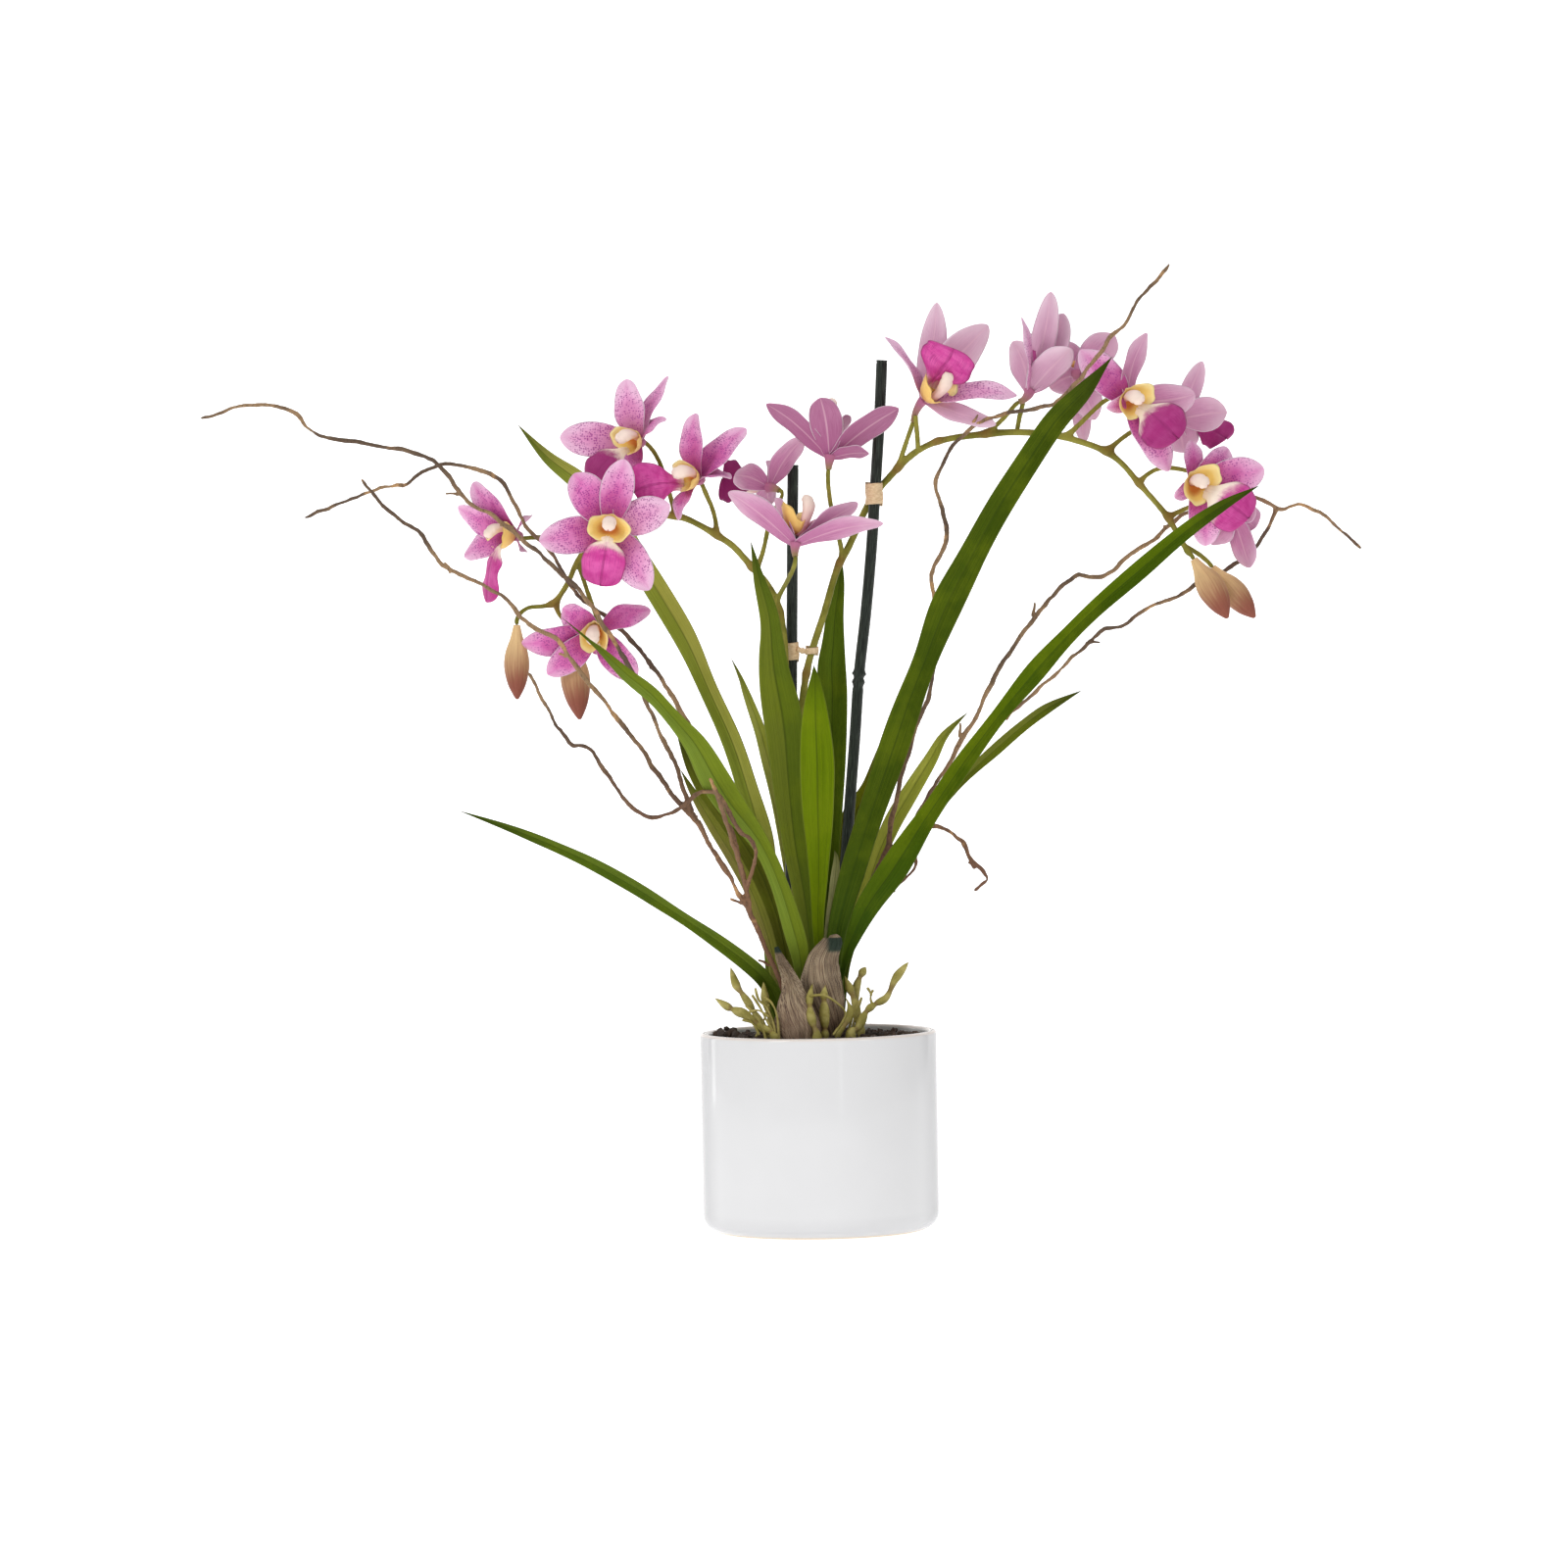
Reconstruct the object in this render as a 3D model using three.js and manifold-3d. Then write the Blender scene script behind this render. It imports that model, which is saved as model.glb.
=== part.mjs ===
import * as THREE from 'three';
import { mergeVertices } from 'three/addons/utils/BufferGeometryUtils.js';
import Module from 'manifold-3d';

// Potted cymbidium orchid, in millimetres. The origin is the centre of the pot's flat foot,
// +Z is up, +X is to the right of someone who looks at its front, and +Y points away from them.

// Driving dimensions of the pot and what fills it
const POT_RADIUS = 72.5;
const POT_HEIGHT = 122;
const POT_WALL = 5;
const POT_FLOOR = 7;
const FOOT_RADIUS = 61;
const FOOT_CORNER = 12;
const SEAT_GAP = 0.3;
const SOIL_TOP = 117.5;
const SOIL_DISH = 1.5;

// Driving dimensions of the plant
const LEAF_THICKNESS = 1.5;
const LEAF_FOLD = 0.12;
const TEPAL_WIDTH = 19;
const TEPAL_THICKNESS = 1.4;
const TEPAL_BULGE = 4;
const LIP_WIDTH = 23;
const LIP_THICKNESS = 7;
const COLUMN_LENGTH = 13;
const COLUMN_RADIUS = 3.4;
const CORE_RADIUS = 4.5;
const STEM_RADIUS_FOOT = 2.3;
const STEM_RADIUS_TIP = 1.5;
const PEDICEL_RADIUS = 1.4;
const PEDICEL_RUN = 4;
const OVARY_LENGTH = 7;
const OVARY_RADIUS = 1.9;
const BUD_RADIUS = 7;
const STAKE_RADIUS = 3.6;
const STAKE_FOOT = 30;
const STAKE_SIDES = 10;
const BULB_SIDES = 14;
const TWIG_RADIUS_TIP = 0.9;
const TWIG_SIDES = 5;
const TWIG_RINGS = 1.3;

const wasm = await Module();
wasm.setup();

const TO_VIEWER = new THREE.Vector3(0, -1, 0);

function vector(numbers) {
  return new THREE.Vector3(numbers[0], numbers[1], numbers[2]);
}

// Linear interpolation along a list of numbers, with share from 0 to 1
function along(list, share) {
  const place = share * (list.length - 1);
  const first = Math.min(Math.floor(place), list.length - 2);
  return THREE.MathUtils.lerp(list[first], list[first + 1], place - first);
}

function volumeOf(geometry) {
  const at = geometry.attributes.position;
  const corners = geometry.index.array;
  const a = new THREE.Vector3();
  const b = new THREE.Vector3();
  const c = new THREE.Vector3();
  let six = 0;
  for (let i = 0; i < corners.length; i += 3) {
    a.fromBufferAttribute(at, corners[i]);
    b.fromBufferAttribute(at, corners[i + 1]);
    c.fromBufferAttribute(at, corners[i + 2]);
    six += a.dot(b.cross(c));
  }
  return six / 6;
}

// Keeps positions only, joins equal corners and makes the faces point out
function closed(geometry) {
  geometry.deleteAttribute('normal');
  geometry.deleteAttribute('uv');
  const merged = mergeVertices(geometry, 1e-4);
  if (volumeOf(merged) < 0) {
    const corners = merged.index.array;
    for (let i = 0; i < corners.length; i += 3) {
      const second = corners[i + 1];
      corners[i + 1] = corners[i + 2];
      corners[i + 2] = second;
    }
  }
  return merged;
}

// A sphere's grid draped on a run of cross sections. place(ring, angle) gives each corner; the
// first and last rings are the two poles, which close the ends.
function draped(sides, rings, place) {
  const grid = new THREE.SphereGeometry(1, sides, rings);
  const at = grid.attributes.position;
  const uv = grid.attributes.uv;
  for (let i = 0; i < at.count; i += 1) {
    const ring = Math.round((1 - uv.getY(i)) * rings);
    const pole = ring === 0 || ring === rings;
    const side = pole ? 0 : Math.round(uv.getX(i) * sides) % sides;
    const corner = place(ring, (2 * Math.PI * side) / sides, pole);
    at.setXYZ(i, corner.x, corner.y, corner.z);
  }
  return closed(grid);
}

// A round stalk with flat ends along a smooth curve; its radii are spread evenly over its points
function stalk(points, radii, sides, rings) {
  const curve = new THREE.CatmullRomCurve3(points.map(vector));
  const frames = [];
  let normal = new THREE.Vector3(1, 0.3, 0.2);
  for (let ring = 0; ring <= rings; ring += 1) {
    const share = THREE.MathUtils.clamp((ring - 1) / (rings - 2), 0, 1);
    const forward = curve.getTangent(share);
    const binormal = new THREE.Vector3().crossVectors(forward, normal).normalize();
    normal = new THREE.Vector3().crossVectors(binormal, forward).normalize();
    frames.push({ centre: curve.getPoint(share), normal, binormal, radius: along(radii, share) });
  }
  return draped(sides, rings, (ring, angle, pole) => {
    const frame = frames[ring];
    const radius = pole ? 0 : frame.radius;
    return frame.centre.clone()
      .addScaledVector(frame.normal, radius * Math.cos(angle))
      .addScaledVector(frame.binormal, radius * Math.sin(angle));
  });
}

// A flat blade with two edges, a front and a back ridge, from a sharp tip to a cut foot;
// stations are [x, y, z, width]
function blade(stations, rings, thickness, fold, facing) {
  const curve = new THREE.CatmullRomCurve3(stations.map(vector));
  const widths = stations.map((station) => station[3]);
  return draped(4, rings, (ring, angle, pole) => {
    const share = Math.min(ring / (rings - 1), 1);
    const centre = curve.getPoint(share);
    if (pole) {
      return centre;
    }
    const forward = curve.getTangent(share);
    const side = new THREE.Vector3().crossVectors(forward, facing).normalize();
    const front = new THREE.Vector3().crossVectors(side, forward).normalize();
    const width = along(widths, share);
    const ridge = Math.abs(Math.sin(angle));
    return centre
      .addScaledVector(side, (width / 2) * Math.cos(angle))
      .addScaledVector(front, (thickness / 2) * Math.sin(angle) - fold * width * ridge);
  });
}

function solid(geometry) {
  return new wasm.Manifold(new wasm.Mesh({
    numProp: 3,
    vertProperties: new Float32Array(geometry.attributes.position.array),
    triVerts: new Uint32Array(geometry.index.array),
  }));
}

function geometryOf(manifold) {
  const mesh = manifold.getMesh();
  const geometry = new THREE.BufferGeometry();
  geometry.setAttribute('position', new THREE.BufferAttribute(mesh.vertProperties, 3));
  geometry.setIndex(new THREE.BufferAttribute(mesh.triVerts, 1));
  return geometry;
}

function joined(geometries) {
  const solids = geometries.map(solid);
  return geometryOf(solids.slice(1).reduce((whole, next) => whole.add(next), solids[0]));
}

function without(geometry, cutters) {
  const cut = cutters.map(solid).reduce((whole, next) => whole.subtract(next), solid(geometry));
  return geometryOf(cut);
}

const orchid = new THREE.Group();

function add(name, geometry, color, roughness) {
  const material = new THREE.MeshStandardMaterial({ color, roughness, metalness: 0 });
  const mesh = new THREE.Mesh(geometry, material);
  mesh.name = name;
  orchid.add(mesh);
}

// Pot: one thrown cup with a flat foot, a round bottom corner and a rounded lip
function potOutline() {
  const inner = POT_RADIUS - POT_WALL;
  const corner = new THREE.Path();
  corner.moveTo(0, 0);
  corner.lineTo(FOOT_RADIUS, 0);
  corner.quadraticCurveTo(POT_RADIUS - 1, 0.5, POT_RADIUS - 0.5, FOOT_CORNER);
  corner.lineTo(POT_RADIUS, POT_HEIGHT - 2);
  corner.quadraticCurveTo(POT_RADIUS, POT_HEIGHT, POT_RADIUS - POT_WALL / 2, POT_HEIGHT);
  corner.quadraticCurveTo(inner, POT_HEIGHT, inner, POT_HEIGHT - 2);
  corner.lineTo(inner, POT_FLOOR + 6);
  corner.quadraticCurveTo(inner, POT_FLOOR, inner - 6, POT_FLOOR);
  corner.lineTo(0, POT_FLOOR);
  return corner.getPoints(3);
}

function lathe(outline, segments) {
  const turned = new THREE.LatheGeometry(outline, segments);
  turned.rotateX(Math.PI / 2);
  return closed(turned);
}

// Bulbs, stakes and twig feet stand in the soil, so their shapes are made before it.
// Bulb stations are [x, y, z, radius].
const BIG_BULB = [
  [12.5, 2, 180.5, 2.5], [12, 2, 179, 4.2], [8.5, 2, 172, 6.3], [4, 3, 163, 9.9],
  [2.5, 4, 152, 12.2], [3, 5, 137, 12.3], [4, 5, 128, 11], [4.5, 5, 119, 9.6],
  [4.5, 5, 109, 7.5], [4.5, 5, 102, 3],
];
const SMALL_BULB = [
  [-25, -14, 175, 1], [-23, -15, 168, 2.2], [-18.5, -16, 158, 3.3], [-16, -17, 149, 5.4],
  [-15.5, -18, 141, 8.4], [-14.5, -18.5, 132, 11], [-13, -18.5, 124, 12], [-12.5, -18, 115, 11],
  [-12.5, -18, 107, 7], [-12.5, -18, 101, 2],
];

function bulb(stations, grow) {
  const radii = stations.map((station) => station[3] + grow);
  return stalk(stations, radii, BULB_SIDES, stations.length + 1);
}

// Stakes: a plain left one and a bamboo right one with one knot
const LEFT_STAKE = [[-9.3, 36, 470], [-12, 36, 360], [-17, 36, 118], [-18.8, 36, STAKE_FOOT]];
const RIGHT_STAKE = [
  [47, 24, 533], [42.3, 25, 470], [38, 26, 416], [33, 27, 369], [29, 27.5, 339], [26, 28, 302],
  [21, 29, 248], [9, 31, 121], [0.5, 32.5, STAKE_FOOT],
];

function stakeKnot() {
  const [low, high] = [[28.5, 27.6, 335], [29.5, 27.3, 343]];
  return stalk([low, high], [STAKE_RADIUS, STAKE_RADIUS + 0.7, STAKE_RADIUS], STAKE_SIDES, 5);
}

function stake(points, grow) {
  const radius = STAKE_RADIUS + grow;
  return stalk(points, [radius, radius], STAKE_SIDES, points.length + 1);
}

// Curly twigs: each branch is a list of points and its radii from the first point to the last
const LEFT_TWIG = [
  {
    points: [
      [-371, 0, 504], [-353, -2, 508], [-336, -4, 513], [-321, -4, 509], [-309, -5, 505],
      [-305, -6, 493], [-288, -8, 490], [-258, -10, 484], [-233, -14, 479], [-218, -17, 464],
      [-208, -19, 448], [-196, -21, 444], [-181, -24, 432], [-162, -27, 414], [-141, -30, 397],
      [-128, -31, 377], [-115, -30, 354], [-103, -27, 333], [-95, -24, 311], [-84, -22, 285],
      [-72, -20, 252],
    ],
    radii: [TWIG_RADIUS_TIP, 1.1, 1.2, 1.3, 1.5, 1.8],
  },
  {
    points: [
      [-310, 24, 442], [-289, 20, 451], [-269, 16, 456], [-251, 10, 464], [-248, 8, 459],
      [-235, 4, 471], [-220, 2, 474], [-198, 0, 468], [-188, 0, 463], [-182, 0, 452],
      [-171, 1, 431], [-155, 2, 415], [-147, 3, 397], [-138, 10, 386], [-121, 18, 376],
      [-107, 24, 359], [-91, 24, 337], [-73, 20, 305], [-60, 14, 274], [-50, 6, 244],
      [-45, -3, 222], [-40, -12, 197],
    ],
    radii: [TWIG_RADIUS_TIP, 1.1, 1.2, 1.3, 1.5, 1.7],
  },
  {
    points: [
      [-273, -10, 465], [-263, -12, 452], [-250, -14, 438], [-239, -15, 434], [-232, -16, 425],
      [-226, -18, 412], [-212, -20, 404], [-194, -22, 396], [-183, -23, 390], [-173, -24, 372],
      [-156, -24, 369], [-149, -24, 356], [-137, -24, 338], [-118, -24, 316], [-101, -22, 292],
      [-87, -21, 270], [-72, -20, 252], [-56, -16, 224], [-40, -12, 195], [-27, -7, 164],
      [-20, -4, 146], [-18, -3, 130], [-18, -2, 94], [-17, -2, 64],
    ],
    radii: [TWIG_RADIUS_TIP, 1.2, 1.4, 1.6, 1.9, 2.4, 3, 3],
  },
  {
    points: [
      [-172, -30, 345], [-167, -30, 336], [-160, -32, 318], [-150, -34, 303], [-145, -34, 299],
      [-139, -34, 301], [-129, -36, 287], [-119, -38, 274], [-105, -40, 256], [-89, -42, 256],
      [-74, -44, 269], [-64, -44, 272], [-56, -42, 269], [-51, -39, 254], [-43, -36, 245],
      [-36, -31, 235], [-38, -23, 222], [-42, -14, 211], [-41, -12, 200],
    ],
    radii: [TWIG_RADIUS_TIP, 1.1, 1.3, 1.5, 1.6],
  },
  {
    points: [
      [-63, -57, 280], [-58, -50, 267], [-54, -41, 254], [-50, -28, 236], [-44, -18, 222],
      [-42, -13, 211], [-40, -12, 195],
    ],
    radii: [1.2, 1.5, 1.9],
  },
];
const RIGHT_TWIG = [
  {
    points: [
      [222, -10, 587], [214, -12, 577], [203, -14, 565], [192, -16, 548], [184, -17, 543],
      [181, -18, 536], [166, -17, 518], [150, -14, 501], [132, -8, 500], [109, -3, 496],
      [94, 0, 485], [78, -1, 463], [77, 0, 454], [86, 4, 425], [80, 8, 412], [74, 14, 401],
      [76, 20, 388], [79, 26, 356], [73, 28, 329], [64, 29, 307], [57, 30, 285], [51, 32, 263],
      [45, 34, 233], [39, 35, 206],
    ],
    radii: [TWIG_RADIUS_TIP, 1.1, 1.2, 1.3, 1.5, 1.8],
  },
  {
    points: [
      [341, 44, 413], [334, 43, 419], [319, 41, 433], [307, 40, 440], [300, 39, 441],
      [294, 38, 436], [289, 38, 438], [277, 37, 446], [250, 33, 442], [222, 22, 431],
      [215, 17, 420], [194, 13, 411], [188, 12, 402], [180, 12, 397], [165, 14, 399],
      [159, 15, 396], [144, 18, 380], [129, 21, 363], [112, 24, 337], [100, 27, 310],
      [88, 29, 291], [72, 31, 266], [57, 33, 242], [44, 34, 221], [39, 35, 206], [31, 35, 175],
      [23, 35, 139], [21, 35, 116], [20, 35, 85], [20, 35, 60],
    ],
    radii: [TWIG_RADIUS_TIP, 1.1, 1.2, 1.4, 1.7, 2.2, 3, 3],
  },
  {
    points: [
      [289, 38, 438], [282, 42, 423], [275, 44, 413], [255, 44, 397], [238, 42, 394],
      [227, 38, 382], [206, 34, 380], [195, 31, 366], [178, 28, 365], [166, 26, 350],
      [144, 24, 334], [119, 22, 310],
    ],
    radii: [1.2, 1.2, 1.2, TWIG_RADIUS_TIP],
  },
  {
    points: [
      [104, 20, 206], [109, 18, 210], [112, 18, 213], [107, 19, 217], [99, 20, 224],
      [93, 22, 235], [76, 26, 246], [66, 30, 245], [57, 33, 242],
    ],
    radii: [TWIG_RADIUS_TIP, 1.1, 1.3],
  },
  {
    points: [
      [62, 24, 231], [67, 22, 219], [61, 23, 215], [51, 27, 207], [44, 31, 198], [35, 35, 192],
    ],
    radii: [TWIG_RADIUS_TIP, 1.2, 1.5],
  },
];

function branch(part, grow) {
  const radii = part.radii.map((radius) => radius + grow);
  return stalk(part.points, radii, TWIG_SIDES, Math.round(TWIG_RINGS * part.points.length));
}

// Soil: a plug a little below the lip, with recesses round what stands in it
function soilOutline() {
  const radius = POT_RADIUS - POT_WALL - SEAT_GAP;
  const floor = POT_FLOOR + SEAT_GAP;
  return [
    [0, floor], [radius - 6.5, floor], [radius - 0.5, floor + 7], [radius, floor + 12],
    [radius, SOIL_TOP - SOIL_DISH], [radius - 12, SOIL_TOP], [0, SOIL_TOP],
  ].map(([x, y]) => new THREE.Vector2(x, y));
}

add('pot', lathe(potOutline(), 52), 0xebebec, 0.12);

add('soil', without(lathe(soilOutline(), 40), [
  bulb(BIG_BULB, SEAT_GAP),
  bulb(SMALL_BULB, SEAT_GAP),
  stake(LEFT_STAKE, SEAT_GAP),
  stake(RIGHT_STAKE, SEAT_GAP),
  branch(LEFT_TWIG[2], SEAT_GAP),
  branch(RIGHT_TWIG[1], SEAT_GAP),
]), 0x2d2622, 0.95);

add('pseudobulb_right', bulb(BIG_BULB, 0), 0x7d695a, 0.8);
add('pseudobulb_left', bulb(SMALL_BULB, 0), 0x7d695a, 0.8);
add('stake_left', stake(LEFT_STAKE, 0), 0x1e2624, 0.55);
add('stake_right', joined([stake(RIGHT_STAKE, 0), stakeKnot()]), 0x1e2624, 0.55);
add('curly_twig_left', joined(LEFT_TWIG.map((part) => branch(part, 0))), 0x64503e, 0.75);
add('curly_twig_right', joined(RIGHT_TWIG.map((part) => branch(part, 0))), 0x64503e, 0.75);

// Leaves: strap blades from the tip to the foot, in stations of [x, y, z, width]
const LEAVES = {
  leaf_low_left: [
    [-215, -80, 264, 0], [-172, -70, 247, 7], [-140, -58, 232, 8], [-106, -44, 211, 8],
    [-78, -30, 192, 8], [-44, -12, 166, 10], [-31, 1, 152, 10], [-25, 8, 139, 9], [-22, 12, 128, 8],
    [-21, 13, 118.8, 7],
  ],
  leaf_front_left: [
    [-150, -100, 379, 0], [-127, -92, 363, 7], [-106, -82, 343, 13], [-83, -70, 327, 18],
    [-60, -54, 300, 22], [-47, -38, 271, 23], [-33, -26, 245, 18], [-22, -14, 213, 16],
    [-13, -4, 183, 14], [-11.5, 6, 166, 11], [-13, 13, 150, 8], [-13, 13, 134, 7],
    [-13, 13, 118.6, 6],
  ],
  leaf_rear_left: [
    [-182, 110, 500, 0], [-161, 104, 477, 9], [-138, 97, 458, 14], [-117, 88, 430, 15],
    [-99, 80, 400, 15], [-78, 68, 366, 18], [-55, 58, 325, 21], [-41, 50, 277, 18],
    [-34, 43, 237, 14], [-29, 36, 194, 11], [-27, 31, 152, 9], [-26, 31, 118, 8],
  ],
  leaf_short_dark: [
    [-82, 12, 284, 0], [-71, 14, 262, 8], [-56, 16, 237, 10], [-42, 18, 211, 10], [-32, 19, 186, 9],
    [-26, 19, 162, 8], [-23, 19, 141, 7], [-22, 19, 118, 6],
  ],
  leaf_hidden_left: [
    [-85, 62, 307, 0], [-72, 55, 279, 11], [-54, 44, 252, 16], [-37, 33.5, 225, 16],
    [-26, 28, 198, 13], [-19, 26, 168, 11], [-17, 25, 140, 9], [-16, 25, 118, 7],
  ],
  leaf_narrow_left: [
    [-50, 36, 352, 0], [-43, 37, 331, 8], [-35, 38.5, 300, 12], [-26, 39.5, 267, 12],
    [-18, 42, 234, 13], [-11, 40, 197, 11], [-7, 39, 158, 9], [-5, 38, 118, 7],
  ],
  leaf_tall_left: [
    [-36, -24, 423, 0], [-31, -14, 397, 7], [-24, -4, 370, 14], [-22, 4, 346, 20],
    [-19, 11, 319, 22], [-16, 16, 286, 20], [-14, 20, 249, 17], [-8, 22, 213, 14],
    [-4, 23, 174, 11], [0, 24, 146, 9], [1, 24, 118, 7],
  ],
  leaf_front_centre: [
    [1, -46, 347, 0], [1, -38, 331, 10], [1, -26, 307, 19], [2, -15, 280, 22], [3, -5, 256, 19],
    [4, 6, 225, 16], [3, 13.5, 195, 12], [4, 17.5, 164, 9], [7, 19.5, 140, 8], [7, 19.5, 118, 7],
  ],
  leaf_tall_right: [
    [19, 62, 420, 0], [18, 58, 396, 7], [14, 53, 369, 13], [13, 49, 339, 17], [12, 46, 309, 19],
    [11, 42, 272, 18], [9, 40, 236, 16], [8, 39, 194, 12], [10, 39, 151, 9], [11, 39, 118, 7],
  ],
  leaf_olive_rear: [
    [63, 95, 344, 0], [51, 90, 316, 9], [39, 80, 286, 13], [27, 68, 256, 16], [19, 57, 226, 14],
    [14, 50, 187, 12], [14, 47, 151, 10], [15, 46, 118, 7],
  ],
  leaf_long_right: [
    [183, -80, 529, 0], [165, -74, 508, 12], [144, -66, 486, 17], [121, -55, 451, 19],
    [103, -45, 421, 20], [88, -36, 392, 21], [74, -27, 363, 20], [63, -19, 335, 20],
    [50, -8, 300, 18], [35, 3, 261, 17], [24, 12, 225, 16], [15, 18, 188, 13], [14, 21, 164, 11],
    [17, 23, 140, 9], [19, 24, 118, 7],
  ],
  leaf_low_right: [
    [269, -95, 450, 0], [244, -88, 436, 8], [222, -80, 421, 13], [196, -69, 399, 15],
    [165, -56, 369, 17], [138, -43, 343, 17], [116, -31, 316, 18], [93, -19, 288, 20],
    [75, -8, 261, 22], [54, 4, 229, 20], [36, 15, 202, 18], [27, 22, 173, 14], [26, 26, 146, 10],
    [26, 27, 118, 7],
  ],
  leaf_short_right: [
    [98, 80, 315, 0], [81, 75, 298, 7], [71, 68, 280, 10], [56, 59, 256, 11], [43, 50, 232, 10],
    [33, 46, 205, 10], [26, 43, 172, 9], [24, 43, 145, 8], [24, 43, 118, 7],
  ],
  leaf_thin_right: [
    [170, 92, 327, 0], [146, 88, 315, 7], [129, 84, 303, 7], [109, 78, 286, 8], [93, 72, 270, 8],
    [76, 64, 249, 8], [60, 58, 225, 8], [44, 54, 196, 8], [35, 51, 162, 7], [32, 49, 118, 6],
  ],
  leaf_inner_blade: [
    [12, 24, 232, 0], [12, 24.5, 224, 5], [10, 24.5, 203, 5], [7, 24.5, 182, 4],
    [6, 24.5, 161, 3.5], [7, 24.5, 140, 3.5], [8, 24.5, 118, 3.5],
  ],
};
const GREEN_LEAF = 0x4b6e26;
for (const [name, stations] of Object.entries(LEAVES)) {
  const rings = Math.max(10, stations.length + 1);
  add(name, blade(stations, rings, LEAF_THICKNESS, LEAF_FOLD, TO_VIEWER), GREEN_LEAF, 0.5);
}

// Flowers: at is the throat, face the way it looks, tips the ends of its five tepals and lip the
// end of its lip, all measured from the throat
const FLOWERS = {
  flower_left_1: {
    at: [-9, -12, 420], face: [0, 0.3, 0.95], lip: [3, 4, 27],
    tips: [[-39, -4, 34], [51, 0, 13], [38, 12, 25], [33, -26, 20], [-18, 18, 28]],
  },
  flower_left_2: {
    at: [-24, 24, 456], face: [-0.8, 0.5, 0.3], lip: [-25, 13, 4],
    tips: [[-18, -12, 15], [24, -2, 28], [-19, 34, -1], [8, 20, -26], [-3, 30, 24]],
  },
  flower_left_3: {
    at: [-74, 8, 463], face: [-0.6, -0.78, 0.1], lip: [-26, -16, -6],
    tips: [[6, 4, 38], [34, 2, 27], [27, -4, -6], [-11, -22, -21], [-19, -30, 14]],
  },
  flower_left_4: {
    at: [-112, 24, 485], face: [-0.6, -0.7, -0.35], lip: [-20, -14, -18],
    tips: [[2, -6, 39], [-41, 8, 5], [27, 14, 27], [18, -26, 12], [-6, -20, -20]],
  },
  flower_left_5: {
    at: [-122, -14, 432], face: [0, -1, 0.05], lip: [-5, -14, -28],
    tips: [[10, -4, 42], [-21, 2, 34], [37, 0, 13], [24, -4, -38], [-43, -3, -6]],
  },
  flower_left_6: {
    at: [-187, 8, 427], face: [-0.85, -0.5, 0], lip: [-15, -10, -4],
    tips: [[-20, 8, 35], [-26, -14, 21], [-23, -14, -12], [-8, 6, -34], [9, 20, 11]],
  },
  flower_left_7: {
    at: [-131, 1, 370], face: [-0.2, -0.95, -0.2], lip: [-5, -14, -18],
    tips: [[32, 6, 15], [-21, -4, 14], [-47, 0, -5], [-28, -2, -27], [22, 2, -30]],
  },
  flower_right_1: {
    at: [13, 6, 473], face: [0.1, 0.2, 0.97], lip: [10, 6, 23],
    tips: [[-37, 4, 35], [-5, 22, 36], [43, 0, 29], [24, -28, 3], [3, 34, 18]],
  },
  flower_right_2: {
    at: [67, 10, 501], face: [0.3, -0.3, 0.9], lip: [23, -10, 33],
    tips: [[-17, 0, 46], [14, 12, 66], [45, 10, 48], [40, -8, 20], [24, -24, -6]],
  },
  flower_right_3: {
    at: [135, 10, 510], face: [0.7, 0.2, 0.6], lip: [19, 6, 30],
    tips: [[-1, -14, 46], [15, 8, 58], [29, 10, 44], [25, -16, 26], [-6, 24, 33]],
  },
  flower_right_4: {
    at: [166, 24, 524], face: [-0.2, -0.9, 0.2], lip: [-6, -12, -10],
    tips: [[24, -2, 22], [11, -2, -28], [-2, 2, -38], [-22, 2, -20], [-16, 14, 20]],
  },
  flower_right_5: {
    at: [201, -6, 504], face: [0.5, -0.75, -0.35], lip: [18, -16, -19],
    tips: [[-30, 2, 30], [8, 4, 41], [38, 4, 1], [20, 4, -42], [-20, -26, 4]],
  },
  flower_right_6: {
    at: [238, 26, 498], face: [0.8, 0.5, 0], lip: [20, 8, -12],
    tips: [[9, 4, 30], [28, 22, 6], [9, 6, -24], [-9, 22, 24], [-10, 20, -17]],
  },
  flower_right_7: {
    at: [243, -6, 455], face: [0.5, -0.7, -0.4], lip: [20, -18, -19],
    tips: [[-13, 6, 23], [12, 8, 23], [38, 0, 7], [-25, 0, -14], [0, 2, -40]],
  },
  flower_right_8: {
    at: [259, 18, 435], face: [0.55, 0.65, -0.35], lip: [11, 9, -12],
    tips: [[12, 2, -33], [20, 8, -26], [23, 5, -1], [-14, 4, -21], [6, 6, 24]],
  },
};

function tepal(at, face, tip) {
  const out = vector(tip);
  const long = out.length();
  const start = vector(at).addScaledVector(out, -1.5 / long);
  const stations = [1, 0.8, 0.55, 0.25, 0].map((share) => {
    const point = start.clone().addScaledVector(out, share * (1 + 1.5 / long));
    point.addScaledVector(face, TEPAL_BULGE * Math.sin(Math.PI * share));
    return [...point.toArray(), TEPAL_WIDTH * along([0.2, 0.62, 1, 0.8, 0.1], share)];
  });
  return blade(stations, 6, TEPAL_THICKNESS, 0.05, face);
}

function lip(at, face, tip) {
  const stations = [1, 0.7, 0.35, 0].map((share) => {
    const point = vector(at).addScaledVector(vector(tip), share);
    point.addScaledVector(face, 3 * Math.sin(Math.PI * share));
    return [...point.toArray(), LIP_WIDTH * along([0.3, 0.8, 1, 0.4], share)];
  });
  return blade(stations, 5, LIP_THICKNESS, 0.05, face);
}

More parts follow.
